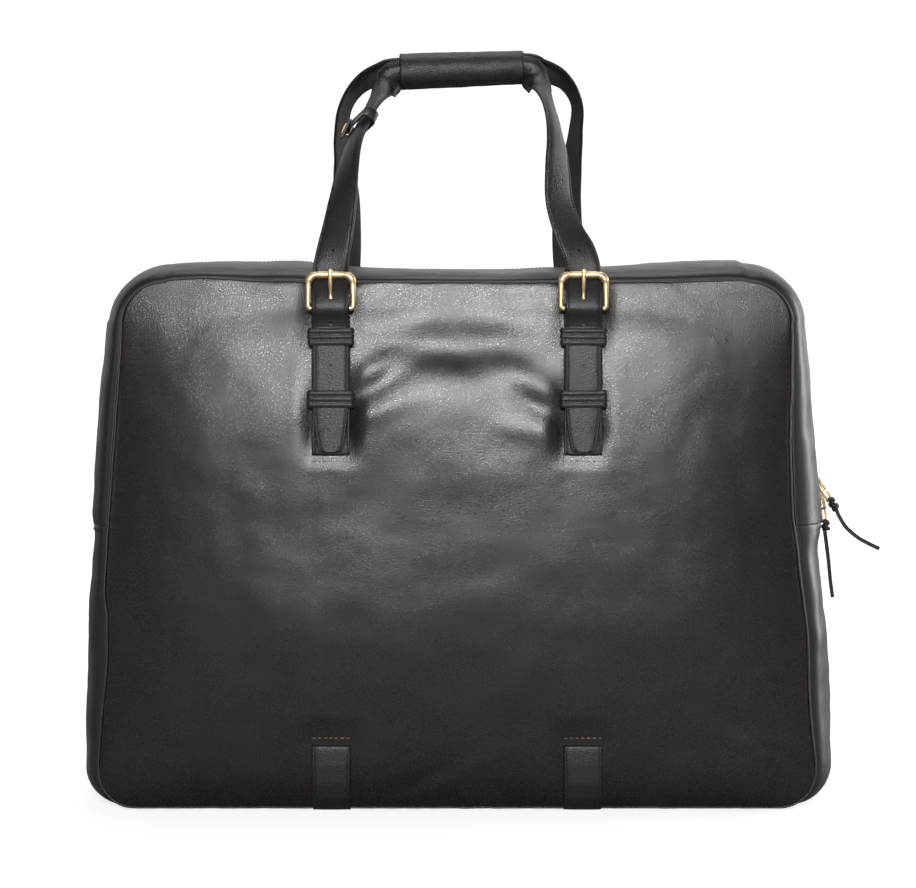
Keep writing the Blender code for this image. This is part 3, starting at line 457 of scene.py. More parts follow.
TAN_THREAD = thread("tan thread", (0.34, 0.25, 0.17), (0.15, 0.10, 0.065))


# ---- Mesh helpers ----

SHARP_ANGLE = math.radians(48)


def place_in_scene(name, mesh):
    obj = bpy.data.objects.new(name, mesh)
    bpy.context.scene.collection.objects.link(obj)
    return obj


def add_mesh(name, points, faces, material):
    """A smooth-shaded object from points and faces, its faces turned outwards."""
    mesh = bpy.data.meshes.new(name)
    mesh.from_pydata([tuple(p) for p in points], [], faces)
    made = bmesh.new()
    made.from_mesh(mesh)
    bmesh.ops.remove_doubles(made, verts=made.verts, dist=1e-7)
    bmesh.ops.recalc_face_normals(made, faces=made.faces)
    made.to_mesh(mesh)
    made.free()
    mesh.materials.append(material)
    mesh.shade_smooth()
    mesh.set_sharp_from_angle(angle=SHARP_ANGLE)
    return place_in_scene(name, mesh)


def grid_faces(tall, wide, wrap_tall=False, wrap_wide=False, first=0):
    """The faces between tall rows of wide points each, numbered from first."""
    faces = []
    for i in range(tall if wrap_tall else tall - 1):
        for j in range(wide if wrap_wide else wide - 1):
            a, b = (i + 1) % tall, (j + 1) % wide
            corners = (i * wide + j, i * wide + b, a * wide + b, a * wide + j)
            faces.append(tuple(first + c for c in corners))
    return faces


def surface(name, rows, material, wrap_tall=False, wrap_wide=False, capped=False):
    """A surface through rows of points. Capped closes its first and last rows."""
    tall, wide = len(rows), len(rows[0])
    faces = grid_faces(tall, wide, wrap_tall, wrap_wide)
    if capped:
        faces.append(tuple(range(wide)))
        faces.append(tuple(range((tall - 1) * wide, tall * wide)))
    return add_mesh(name, [p for row in rows for p in row], faces, material)


def thicken(obj, thickness, outward_from):
    """Turns an open surface's faces away from a point, and gives it a thickness on that point's side."""
    made = bmesh.new()
    made.from_mesh(obj.data)
    facing = sum(f.normal.dot(f.calc_center_median() - outward_from) for f in made.faces)
    if facing < 0:
        bmesh.ops.reverse_faces(made, faces=made.faces)
    made.to_mesh(obj.data)
    made.free()
    solidify = obj.modifiers.new("thickness", "SOLIDIFY")
    solidify.thickness = thickness
    solidify.offset = -1
    return obj


def join(name, pieces):
    """One object from several, which it removes."""
    made = bmesh.new()
    materials = []
    for piece in pieces:
        start = len(made.faces)
        made.from_mesh(piece.data)
        made.faces.ensure_lookup_table()
        for face in made.faces[start:]:
            material = piece.data.materials[face.material_index]
            if material not in materials:
                materials.append(material)
            face.material_index = materials.index(material)
            face.smooth = True
    mesh = bpy.data.meshes.new(name)
    made.to_mesh(mesh)
    made.free()
    for material in materials:
        mesh.materials.append(material)
    for piece in pieces:
        bpy.data.objects.remove(piece, do_unlink=True)
    return place_in_scene(name, mesh)


def baked(obj):
    """Obj with its modifiers applied."""
    bpy.context.view_layer.update()
    graph = bpy.context.evaluated_depsgraph_get()
    mesh = bpy.data.meshes.new_from_object(obj.evaluated_get(graph))
    obj.modifiers.clear()
    mesh.set_sharp_from_angle(angle=SHARP_ANGLE)
    obj.data = mesh
    return obj


def catmull(a, b, c, d, t):
    """Catmull-Rom: at t between b and c, with a before them and d after."""
    return 0.5 * (2 * b + (c - a) * t + (2 * a - 5 * b + 4 * c - d) * t**2 + (3 * b - a - 3 * c + d) * t**3)


def smooth_through(stations, steps):
    """Tuples of vectors and numbers, laid along a smooth curve through the stations."""
    laid = []
    last, fields = len(stations) - 1, range(len(stations[0]))
    for i in range(last):
        four = [stations[max(min(i + k, last), 0)] for k in (-1, 0, 1, 2)]
        for j in range(steps):
            laid.append(tuple(catmull(*[s[k] for s in four], j / steps) for k in fields))
    laid.append(tuple(stations[-1]))
    return laid


def way_at(points, i):
    """The way along a line of points at one of them."""
    return (points[min(i + 1, len(points) - 1)] - points[max(i - 1, 0)]).normalized()


def loop_way(loop, i):
    """The way along a closed line of (a, b) points at one of them."""
    return (Vector(loop[(i + 1) % len(loop)]) - Vector(loop[i - 1])).normalized()


def circle(middle, first, second, radius, count):
    """Points round a circle, from first towards second."""
    turns = [2 * math.pi * i / count for i in range(count)]
    return [middle + (first * math.cos(turn) + second * math.sin(turn)) * radius for turn in turns]


def evenly(points, spacing):
    """Points about this far apart along a polyline, at equal distances, with the way ahead at each."""
    points = [Vector(p) for p in points]
    lengths = [0.0]
    for before, after in zip(points, points[1:]):
        lengths.append(lengths[-1] + (after - before).length)
    count = max(int(round(lengths[-1] / spacing)), 1)
    laid, i = [], 0
    for k in range(count + 1):
        at = lengths[-1] * k / count
        while i < len(points) - 2 and lengths[i + 1] < at:
            i += 1
        share = (at - lengths[i]) / max(lengths[i + 1] - lengths[i], 1e-9)
        laid.append((points[i].lerp(points[i + 1], share), (points[i + 1] - points[i]).normalized()))
    return laid


def tube(name, points, radius, material, closed=False, sides=12, flat=1.0, up=UPWARD, radii=None):
    """A round or flattened tube through the points, its ends rounded off if it is open."""
    points = [Vector(p) for p in points]
    count = len(points)
    scale = radii or [1.0] * count
    if not closed:
        start, end = (points[0] - points[1]).normalized(), (points[-1] - points[-2]).normalized()
        lead = radius * 0.35
        points = [points[0] + start * lead] + points + [points[-1] + end * lead]
        scale = [scale[0] * 0.55] + list(scale) + [scale[-1] * 0.55]
        count += 2
    rows = []
    for i, here in enumerate(points):
        ahead = points[(i + 1) % count] if closed else points[min(i + 1, count - 1)]
        behind = points[i - 1] if closed else points[max(i - 1, 0)]
        way = (ahead - behind).normalized()
        side = way.cross(up).normalized() if way.cross(up).length > 1e-4 else way.orthogonal().normalized()
        out = side.cross(way).normalized()
        row = []
        for k in range(sides):
            angle = 2 * math.pi * k / sides
            row.append(here + (side * math.cos(angle) + out * math.sin(angle) * flat) * radius * scale[i])
        rows.append(row)
    return surface(name, rows, material, wrap_tall=closed, wrap_wide=True, capped=not closed)


def stitch_row(points, normals, pitch=STITCH_PITCH, radius=STITCH_RADIUS):
    """Stitches laid along a line of points: short rounded bars, a little sunk, as points and faces."""
    all_points, faces = [], []
    sides, rings = 6, ((-1.0, 0.35), (-0.75, 0.9), (0.0, 1.0), (0.75, 0.9), (1.0, 0.35))
    half_length, sink = pitch * STITCH_SHARE / 2, radius * STITCH_SINK
    laid = evenly(points, pitch)
    for k in range(len(laid) - 1):
        here = (laid[k][0] + laid[k + 1][0]) / 2
        way = (laid[k + 1][0] - laid[k][0]).normalized()
        nearest = min(range(len(points)), key=lambda i: (Vector(points[i]) - here).length_squared)
        normal = normals[nearest]
        side = way.cross(normal).normalized()
        first = len(all_points)
        for along, size in rings:
            middle = here + way * along * half_length - normal * sink
            all_points += circle(middle, side, normal, radius * size, sides)
        faces += grid_faces(len(rings), sides, wrap_wide=True, first=first)
        faces.append(tuple(range(first, first + sides)))
        last = first + (len(rings) - 1) * sides
        faces.append(tuple(range(last, last + sides)))
    return all_points, faces


def stitches(name, lines, material, **sizes):
    """One piece from several (points, normals) lines of stitches."""
    points, faces = [], []
    for line, normals in lines:
        more, more_faces = stitch_row(line, normals, **sizes)
        faces += [tuple(c + len(points) for c in face) for face in more_faces]
        points += more
    return add_mesh(name, points, faces, material)


def ease(table, at):
    """The value at a place between (place, value) pairs, changing smoothly."""
    if at <= table[0][0]:
        return table[0][1]
    for (a, first), (b, second) in zip(table, table[1:]):
        if at <= b:
            t = (at - a) / (b - a)
            return first + (second - first) * t * t * (3 - 2 * t)
    return table[-1][1]


def rounded_box(half_a, half_b, radius, steps=6):
    """(a, b) points round a rectangle with round corners."""
    a, b = half_a - radius, half_b - radius
    corners = ((a, b, 0), (-a, b, 90), (-a, -b, 180), (a, -b, 270))
    points = []
    for x, y, turn in corners:
        for i in range(steps + 1):
            angle = math.radians(turn + 90 * i / steps)
            points.append((x + radius * math.cos(angle), y + radius * math.sin(angle)))
    return points


def settle(piece, body, slot, *nodes):
    """Puts a finished piece on its body, in place of the plain CAD nodes."""
    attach(piece, body)
    if nodes:
        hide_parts(*nodes)
    return piece


# ---- The bag's outline ----


def side_at(z):
    """Half the width between the side seams at a height, below the round corners."""
    return BASE_HALF_WIDTH - SIDE_TAPER * z


def corner_centre(z, radius):
    """(x, z) of a round corner's centre."""
    return Vector((side_at(z) - radius / math.cos(TAPER_ANGLE), z))


HIGH_CENTRE = corner_centre(SEAM_HIGH - HIGH_CORNER, HIGH_CORNER)
LOW_CENTRE = corner_centre(SEAM_LOW + LOW_CORNER, LOW_CORNER)
CORNER_STEPS = 2.4  # a corner's stations, as a share of its radius over the spacing
TOP_OF_SIDE = HIGH_CENTRE.y + HIGH_CORNER * math.sin(TAPER_ANGLE)
FOOT_OF_SIDE = LOW_CENTRE.y + LOW_CORNER * math.sin(TAPER_ANGLE)


def seam_half_width(z):
    """Half a main panel's width at a height."""
    for centre, radius, beyond in ((HIGH_CENTRE, HIGH_CORNER, 1), (LOW_CENTRE, LOW_CORNER, -1)):
        over = (z - centre.y) * beyond
        if over > radius * math.sin(TAPER_ANGLE) * beyond:
            return centre.x + math.sqrt(max(radius**2 - min(over, radius) ** 2, 0))
    return side_at(z)


def bulge_on_side(z):
    """How far a gusset's crest stands out from the panels' seam, on a side."""
    if z >= SIDE_SEAM:
        return BULGE_SEAM + (BULGE_HIGH - BULGE_SEAM) * (z - SIDE_SEAM) / (HIGH_CENTRE.y - SIDE_SEAM)
    return BULGE_LOW + (BULGE_SEAM - BULGE_LOW) * (z - LOW_CENTRE.y) / (SIDE_SEAM - LOW_CENTRE.y)


def bulge_on_top(x):
    return min(BULGE_MIDDLE + 0.0055 * (x / 0.2) ** 2, BULGE_HIGH)


def seam_shift(way, z):
    return ease(SEAM_IN_RIGHT if way > 0 else SEAM_IN_LEFT, z)


def ridge_shift(way, z):
    return ease(RIDGE_IN_RIGHT if way > 0 else RIDGE_IN_LEFT, z)


def half_outline(way, spacing):
    """Stations (point, normal, bulge) from the middle of the top down one side to the middle of the base."""
    slant = Vector((way * math.cos(TAPER_ANGLE), math.sin(TAPER_ANGLE)))
    path = []
    steps = round(HIGH_CENTRE.x / spacing)
    for i in range(steps):
        x = way * HIGH_CENTRE.x * i / steps
        lift = ease(TOP_SEAM_LIFT, x)
        bulge = bulge_on_top(x) + ease(TOP_RIDGE_LIFT, x) - lift
        path.append((Vector((x, SEAM_HIGH + lift)), Vector((0, 1)), bulge))
    steps = round(HIGH_CORNER * CORNER_STEPS / spacing)
    for i in range(steps):
        angle = math.pi / 2 - (math.pi / 2 - TAPER_ANGLE) * i / steps
        normal = Vector((way * math.cos(angle), math.sin(angle)))
        centre = Vector((way * HIGH_CENTRE.x, HIGH_CENTRE.y))
        path.append((centre + normal * HIGH_CORNER, normal, BULGE_HIGH))
    steps = round((TOP_OF_SIDE - FOOT_OF_SIDE) / spacing)
    for i in range(steps):
        z = TOP_OF_SIDE + (FOOT_OF_SIDE - TOP_OF_SIDE) * i / steps
        shift = seam_shift(way, z)
        bulge = bulge_on_side(z) + ridge_shift(way, z) - shift
        path.append((Vector((way * (side_at(z) + shift), z)), slant, bulge))
    steps = round(LOW_CORNER * CORNER_STEPS / spacing)
    for i in range(steps):
        turned = i / steps
        angle = TAPER_ANGLE - (math.pi / 2 + TAPER_ANGLE) * turned
        normal = Vector((way * math.cos(angle), math.sin(angle)))
        centre = Vector((way * LOW_CENTRE.x, LOW_CENTRE.y))
        fading = max(math.cos(math.pi / 2 * turned), 0) ** 1.5
        bulge = (BULGE_LOW + ridge_shift(way, LOW_CORNER) * (1 - turned)) * fading
        path.append((centre + normal * LOW_CORNER, normal, bulge))
    steps = round(LOW_CENTRE.x / spacing)
    for i in range(steps + 1):
        x = way * LOW_CENTRE.x * (1 - i / steps)
        path.append((Vector((x, SEAM_LOW)), Vector((0, -1)), 0.0))
    return path


def whole_outline(spacing):
    """The closed outline, from the middle of the top round by the right side."""
    right, left = half_outline(1, spacing), half_outline(-1, spacing)
    return right + left[-2:0:-1]


def station_at(half, z):
    """The station where a half outline comes down to a height."""
    for a, b in zip(half, half[1:]):
        if a[0].y >= z > b[0].y:
            share = (a[0].y - z) / (a[0].y - b[0].y)
            return a[0].lerp(b[0], share), a[1].lerp(b[1], share).normalized(), a[2] + (b[2] - a[2]) * share
    raise ValueError("the outline never comes down to that height")


def split_outline(spacing):
    """The outline above the side seams, from right to left, and below them."""
    upper, lower = [], []
    for half in (half_outline(1, spacing), half_outline(-1, spacing)):
        above, below = station_at(half, SIDE_SEAM + 0.0002), station_at(half, SIDE_SEAM - 0.0002)
        upper.append([s for s in half if s[0].y > SIDE_SEAM + 0.001] + [above])
        lower.append([below] + [s for s in half if s[0].y < SIDE_SEAM - 0.001])
    return upper[0][::-1] + upper[1][1:], lower[0] + lower[1][-2::-1]


def ripple(x, y, z, scale, seed):
    """Smooth uneven waves, about scale of them in a metre."""
    return noise.fractal(Vector((x * scale + seed, y * scale, z * scale - seed)), 1.0, 2.0, 3)


def gusset_point(station, y, below=0.0):
    """A point of the gusset at depth y, some way below its surface, with the leather's small waves."""
    point, normal, bulge = station
    share = min(abs(y / GUSSET_REACH), 1.0)
    swell = max(1 - share**2.2, 0) ** (1 / 2.2)
    waves = 0.0015 * ripple(point.x, y, point.y, 17, 3.1) * min(bulge / BULGE_LOW, 1)
    waves += 0.0004 * ripple(point.x, y * 2.5, point.y, 55, 5.4)
    near_edge = math.exp(-(((share - 0.86) / 0.12) ** 2))
    waves += 0.0009 * near_edge * ripple(point.x, y * 0.3, point.y, 34, 8.2) * min(bulge / BULGE_LOW, 1)
    place = point + normal * (bulge * swell - below + waves * min(swell * 1.5, 1))
    return Vector((place.x, y, place.y))


def chain_point(station, y, out=0.0):
    """A point of the zip's plane at depth y."""
    point, normal, bulge = station
    place = point + normal * (bulge - CHAIN_BELOW + out)
    return Vector((place.x, y, place.y))


# ---- The bag's leather ----


def relief(x, z, bumps):
    """How far the bumps of a list raise a panel at a point."""
    total = 0.0
    for cx, cz, along, across, turn, height in bumps:
        dx, dz = x - cx, z - cz
        if abs(dx) > 3 * along + 3 * across or abs(dz) > 3 * along + 3 * across:
            continue
        c, s = math.cos(math.radians(turn)), math.sin(math.radians(turn))
        u, v = (dx * c + dz * s) / along, (dz * c - dx * s) / across
        total += height * math.exp(-(u * u + v * v) / 2)
    return total


def beside_straps(x):
    """1 on a strap's line, falling to 0 beyond its edges."""
    off = min(abs(x - STRAP_X), abs(x + STRAP_X))
    return 1 - min(max((off - 0.016) / 0.013, 0), 1) ** 0.7


def swell_at(z, height, middle, reach):
    """A broad swell of this height round a level."""
    return height * math.exp(-(((z - middle) / reach) ** 2))


def panel_depth(x, z, half, bumps, seed):
    """A main panel's depth at a place: pillowed, leaning in at the top, held flat beneath its straps."""
    across = min(abs(x) / half, 1)
    up = min(abs(2 * (z - SEAM_LOW) / (SEAM_HIGH - SEAM_LOW) - 1), 1)
    roll = max((1 - across**4.5) * (1 - up**8), 0) ** 0.6
    depth = SEAM_DEPTH + (FACE_DEPTH - SEAM_DEPTH) * roll
    held = beside_straps(x)
    held *= min(max((z - 0.288) / 0.03, 0), 1) + min(max((0.080 - z) / 0.02, 0), 1)
    free = 1 - min(held, 1)
    belly = swell_at(z, 0.0062, 0.165, 0.105) * (1 - across**2.5)
    bay = swell_at(z, 0.0052, 0.318, 0.078) * (1 - across**3)
    edge = min(roll * 1.4, 1)
    lean = 0.0075 * min(max((z - 0.21) / 0.22, 0), 1) ** 1.5 * (1 - 0.5 * held)
    depth -= lean * edge
    waves = 0.0009 * ripple(x, 0, z, 9, seed) + 0.00026 * ripple(x, 0, z, 28, seed + 5)
    rim = math.exp(-(((1 - up) / 0.05) ** 2)) + math.exp(-(((1 - across) / 0.045) ** 2))
    puckers = 0.0006 * rim * ripple(x, 0, z, 44, seed + 9)
    return depth + edge * free * (belly + bay + waves + relief(x, z, bumps)) + puckers * edge


def panel_levels():
    """The heights of a main panel's rows, closer together in its round corners."""
    low = [LOW_CENTRE.y - LOW_CORNER * math.cos(math.pi / 2 * i / 12) for i in range(12)]
    high = [HIGH_CENTRE.y + HIGH_CORNER * math.sin(math.pi / 2 * i / 14) for i in range(1, 15)]
    steps = 118
    middle = [LOW_CENTRE.y + (HIGH_CENTRE.y - LOW_CENTRE.y) * i / steps for i in range(steps + 1)]
    return low + middle + high


LIFT_FROM = 0.30  # level above which a panel follows the top seam's lift


def build_panel(side, bumps, seed):
    """A main panel: a pillow that pulls in to its seam, with its edge turned under."""
    sign = SIDES[side]
    rows = []
    columns = 176
    for z in panel_levels():
        row = []
        half = seam_half_width(z)
        high_share = min(max((z - LIFT_FROM) / (SEAM_HIGH - LIFT_FROM), 0), 1) ** 2
        for j in range(columns + 1):
            u = 2 * j / columns - 1
            flat_x = half * math.sin(math.pi / 2 * u) * 0.55 + half * u * 0.45
            way = 1 if flat_x > 0 else -1
            x = flat_x * (half + seam_shift(-way if side == "rear" else way, z)) / half
            depth = panel_depth(flat_x, z, half, bumps, seed)
            row.append(Vector((x, sign * depth, z + high_share * ease(TOP_SEAM_LIFT, flat_x))))
        rows.append(row)
    face = {"front": "front", "rear": "back"}[side]
    panel = surface(face + "_leather", rows, PANEL_LEATHER)
    thicken(panel, PANEL_SKIN, BAG_MIDDLE)
    settle(panel, "bag", "panel_leather", face + "_panel")


def build_seam_edge(side):
    """The folded edge that stands up where a main panel is sewn to the gussets."""
    sign = SIDES[side]
    rows = []
    for point, normal, _ in whole_outline(0.004):
        row = []
        wobble = 0.0003 * ripple(point.x, 0, point.y, 60, 2.0)
        for k in range(10):
            angle = 2 * math.pi * k / 10
            out = 0.0010 + wobble + 0.0010 * math.cos(angle)
            depth = SEAM_DEPTH + 0.0002 + 0.0012 * math.sin(angle)
            place = point + normal * (out - 0.0006)
            row.append(Vector((place.x, sign * depth, max(place.y, 0.0004))))
        rows.append(row)
    edge = surface("seam_edge_" + side, rows, EDGE_PAINT, wrap_tall=True, wrap_wide=True)
    settle(edge, "bag", "gusset_leather")


LIP_STARTS = 0.0185  # depth at which the fold beside the zip starts
LIP_SEWN = 0.0158  # and where it is sewn


def build_upper_gusset(side, upper):
    """One half of the upper gusset, with its edge folded under beside the zip and sewn."""
    sign = SIDES[side]
    lip = [(0.0170, 0.0), (0.0146, 0.0), (0.0132, 0.0002)]
    lip += [(0.0126, 0.0009), (0.0126, 0.0018), (0.0131, 0.0024)]
    depths = [GUSSET_REACH * math.sin(math.pi / 2 * t) for t in np.linspace(0.995, 0.16, 34)]
    across = [(min(d, GUSSET_REACH - 0.0001), 0.0) for d in depths if d > LIP_STARTS] + lip
    rows = [[gusset_point(station, sign * y, below) for y, below in across] for station in upper]
    name = "gusset_leather_top_" + side
    piece = surface(name, rows, GUSSET_LEATHER)
    thicken(piece, GUSSET_SKIN, BAG_MIDDLE)
    settle(piece, "bag", "gusset_leather", "upper_gusset_" + side)
    line = [gusset_point(station, sign * LIP_SEWN) for station in upper]
    out = [Vector((station[1].x, 0, station[1].y)) for station in upper]
    sewn = stitches("zip_stitching_" + side, [(line, out)], BLACK_THREAD)
    settle(sewn, "bag", "gusset_leather")


def build_lower_gusset(lower):
    """The strip down one side, under the bag and up the other, with a turned-in hem at each end."""
    angles = np.linspace(-0.995, 0.995, 61)
    depths = [GUSSET_REACH * math.sin(math.pi / 2 * t) for t in angles]
    rows = []
    for station in lower:
        row = [gusset_point(station, y) for y in depths]
        rows.append([Vector((p.x, p.y, max(p.z, 0.0024))) for p in row])
    for i in (0, -1):
        hem = [p + Vector((0, 0, 0.0016)) + Vector((-p.x, 0, 0)).normalized() * 0.0014 for p in rows[i]]
        rows = [hem] + rows if i == 0 else rows + [hem]
    piece = surface("gusset_leather_low", rows, GUSSET_LEATHER)
    thicken(piece, GUSSET_SKIN, BAG_MIDDLE)
    settle(piece, "bag", "gusset_leather", "lower_gusset")
    lines = []
    for i in (1, -2):
        way = 1 if rows[i][0].x > 0 else -1
        line = [p - Vector((0, 0, 0.0042)) + Vector((way * 0.0002, 0, 0)) for p in rows[i]]
        lines.append((line, [Vector((way, 0, 0.05)).normalized()] * len(line)))
    sewn = stitches("side_seam_stitching", lines, BLACK_THREAD)
    settle(sewn, "bag", "gusset_leather")


# ---- The zip ----


def build_zip_tape(side, upper):
    """The cloth under one row of teeth."""
    sign = SIDES[side]
    across = np.linspace(0.0022, TAPE_OUTER, 6)
    rows = [[chain_point(station, sign * y, -0.0002) for y in across] for station in upper]
    piece = surface("zip_cloth_" + side, rows, TAPE_CLOTH)
    thicken(piece, TAPE_THICKNESS, BAG_MIDDLE)
    settle(piece, "bag", "zip_tape", "zip_tape_" + side)


def build_teeth(side, upper):
    """Every tooth of one row: a narrow head at the chain's middle and a wide foot on the tape."""
    sign = SIDES[side]
    path = [chain_point(station, 0) for station in upper]
    outs = [Vector((station[1].x, 0, station[1].y)) for station in upper]
    laid = evenly(path, TOOTH_PITCH)
    shift = 0.0 if side == "front" else TOOTH_PITCH / 2
    points, faces = [], []
    # reach across the chain, half length along it and half height
    profile = (
        (-0.0004, 0.00095, 0.0010),
        (0.0006, 0.00062, 0.0013),
        (0.0020, 0.00062, 0.0013),
        (0.0034, 0.00082, 0.0011),
    )
    corners = ((-1, -0.7), (-0.7, -1), (0.7, -1), (1, -0.7), (1, 0.7), (0.7, 1), (-0.7, 1), (-1, 0.7))
    around, last = len(corners), len(corners) * (len(profile) - 1)
    nearest = 0
    for here, way in laid[1:-1]:
        while nearest < len(path) - 1 and (path[nearest + 1] - here).length < (path[nearest] - here).length:
            nearest += 1
        out = outs[nearest]
        first = len(points)
        for reach, long, high in profile:
            middle = here + way * shift + Vector((0, sign * reach, 0))
            points += [middle + way * a * long + out * b * high for a, b in corners]
        faces += grid_faces(len(profile), around, wrap_wide=True, first=first)
        faces.append(tuple(range(first, first + around)))
        faces.append(tuple(range(first + last, first + last + around)))
    piece = add_mesh("zip_teeth_row_" + side, points, faces, BRASS)
    piece.data.set_sharp_from_angle(angle=math.radians(50))
    settle(piece, "bag", "brass", "zip_teeth_" + side)


def slider_frame(z):
    """Where a slider stands on the right side's chain: its middle, and the outward and upward ways."""
    slant = Vector((math.cos(TAPER_ANGLE), math.sin(TAPER_ANGLE)))
    low = chain_point((Vector((side_at(SIDE_SEAM), SIDE_SEAM)), slant, bulge_on_side(SIDE_SEAM)), 0)
    top = HIGH_CENTRE.y
    high = chain_point((Vector((side_at(top), top)), slant, bulge_on_side(top)), 0)
    up = (high - low).normalized()
    return low + up * ((z - low.z) / up.z), Vector((up.z, 0, -up.x)), up


def plate(outline, thickness, place, bevel, material):
    """A flat outline with rounded edges."""
    rings = [(-0.5, bevel), (-0.5 + bevel / thickness, 0), (0.5 - bevel / thickness, 0), (0.5, bevel)]
    rows = []
    for level, inset in rings:
        row = []
        for i, (a, b) in enumerate(outline):
            along = loop_way(outline, i)
            row.append(place @ Vector((a - along.y * inset, b + along.x * inset, level * thickness)))
        rows.append(row)
    return surface("plate", rows, material, wrap_wide=True, capped=True)


def build_slider(level, z):
    """A slider: two plates with a waist over the chain, and a loop over the outer one."""
    middle, out, up = slider_frame(z)
    turn = 1 if level == "upper" else -1
    outline = []
    for i in range(40):
        angle = 2 * math.pi * i / 40
        waist = 0.0004 * math.cos(angle) * turn - 0.0007 * math.cos(2 * angle)
        outline.append((math.sin(angle) * (0.0050 + waist), math.cos(angle) * 0.0062))
    pieces = []
    facing = Matrix((DEPTHWAYS, up, out)).transposed().to_4x4()
    for reach in (0.00255, -0.00255):
        place = Matrix.Translation(middle + out * reach) @ facing
        pieces.append(plate(outline, 0.0014, place, 0.0004, BRASS))
    post = [middle + up * turn * 0.0036 + out * r for r in (-0.0026, 0.0, 0.0026)]
    pieces.append(tube("post", post, 0.0009, BRASS))
    loop = []
    for i in range(17):
        angle = math.pi * i / 16
        loop.append(middle + out * (0.0028 + 0.0044 * math.sin(angle)) + up * 0.0050 * math.cos(angle))
    pieces.append(tube("loop", loop, 0.0013, BRASS, up=DEPTHWAYS))
    slider = join("slider_" + level, pieces)
    settle(slider, "slider_" + level, "brass", "zip_slider_" + level)


PULL_HALF_WIDTH = 0.0030


def build_pull(level, z, knot):
    """A brass ring through the slider's loop, with a pressed tab that carries the thong."""
    middle, out, _ = slider_frame(z)
    pivot = middle + out * BAIL_HEIGHT
    way = (knot - pivot).normalized()
    length = (knot - pivot).length - 0.0030
    turn = math.radians(48)
    wide = DEPTHWAYS * math.cos(turn) + way.cross(DEPTHWAYS) * math.sin(turn)
    middle_of_ring = pivot + way * (length / 2 - 0.0004)
    outline = rounded_box(length / 2, PULL_HALF_WIDTH, PULL_HALF_WIDTH - 0.0002)
    ring = [middle_of_ring + way * a + wide * b for a, b in outline]
    pieces = [tube("ring", ring, 0.0012, BRASS, closed=True, up=way.cross(wide))]
    collar = [pivot + way * length * 0.42 + wide * s * PULL_HALF_WIDTH for s in (-1, -0.5, 0, 0.5, 1)]
    pieces.append(tube("collar", collar, 0.0013, BRASS))
    pull = join("pull_ring_" + level, pieces)
    settle(pull, "pull_" + level, "brass", "zip_pull_" + level)


def build_knot(level, knot, along):
    """A thong's knot: crossed wraps, a stub end that sticks out, and the eye towards the pull."""
    cross = DEPTHWAYS.cross(along)
    # each wrap's tilt in degrees, size and shift along the thong
    turns = {
        "upper": [(18, 0.86, -0.0046), (-22, 1.1, -0.0016), (24, 1.14, 0.0016), (-16, 0.9, 0.0046)],
        "lower": [(20, 0.9, -0.0030), (-26, 1.12, 0.0), (22, 0.92, 0.0030)],
    }[level]
    pieces = []
    for tilt, size, shift in turns:
        turn = math.radians(tilt)
        axis = along * math.cos(turn) + cross * math.sin(turn)
        first = axis.cross(DEPTHWAYS).normalized()
        ring = circle(knot + along * shift, first, axis.cross(first).normalized(), 0.0024 * size, 20)
        pieces.append(tube("wrap", ring, 0.0018, STRAP_LEATHER_SKIN, closed=True, sides=10, up=axis))
    stub_way = (along + cross * 0.55).normalized()
    stub = [knot + stub_way * r for r in (0.0, 0.0028, 0.0054)]
    pieces.append(tube("stub", stub, 0.0015, STRAP_LEATHER_SKIN, sides=8, flat=0.55, up=DEPTHWAYS))
    eye = [knot - along * r for r in (0.0, 0.0024, 0.0046)]
    pieces.append(tube("eye", eye, 0.0015, STRAP_LEATHER_SKIN, sides=8))
    return join("knot_" + level, pieces)


def build_thong(level, route, knot, pivot_way):
    """A flat leather thong that hangs from its knot, and the knot itself."""
    points = [Vector((x, 0, z)) for x, z in route]
    points.insert(0, knot.lerp(points[0], 0.35))
    centre = [p[0] for p in smooth_through([(p,) for p in points], 6)]
    rows = []
    section = [(b, a) for a, b in rounded_box(THONG_THICKNESS / 2, THONG_WIDTH / 2, 0.0005, 3)]
    for i, here in enumerate(centre):
        way = way_at(centre, i)
        twist = math.radians(82 - 16 * i / len(centre))
        side = DEPTHWAYS * math.cos(twist) + way.cross(DEPTHWAYS) * math.sin(twist)
        face = way.cross(side)
        taper = 1.0 if i else 0.8
        rows.append([here + side * a * taper + face * b * taper for a, b in section])
    thong = surface("thong_" + level, rows, STRAP_LEATHER_SKIN, wrap_wide=True, capped=True)
    settle(thong, "pull_" + level, "strap_leather", "pull_thong_" + level)
    tied = build_knot(level, knot, pivot_way)
    settle(tied, "pull_" + level, "strap_leather", "pull_knot_" + level)


# ---- Straps ----


BACK_POINTS = 7  # of a strap's section


def strap_section(half, thickness):
    """(across, out) round a strap: round edges, a pressed line inside each of them, and a plain back."""
    t = thickness / 2
    face = [
        (1.0, 0.0, 0.0000),
        (1.0, 0.0002, 0.55 * t),
        (1.0, 0.0007, 0.92 * t),
        (1.0, 0.0013, t),
        (1.0, 0.0018, 0.94 * t),
        (1.0, 0.0021, 0.70 * t),
        (1.0, EDGE_TO_STITCH, 0.62 * t),
        (1.0, 0.0030, 0.80 * t),
        (1.0, 0.0040, 0.93 * t),
        (1.0, 0.0065, t),
        (0.5, 0.0, 1.02 * t),
        (0.0, 0.0, 1.03 * t),
    ]
    right = [(half * share - inset, out) for share, inset, out in face]
    top = right + [(-a, b) for a, b in right[-2::-1]]
    back = [(-half + 0.0003, -0.6 * t), (-half + 0.0010, -0.95 * t), (-half * 0.6, -t), (0.0, -t)]
    back += [(half * 0.6, -t), (half - 0.0010, -0.95 * t), (half - 0.0003, -0.6 * t)]
    return top + back


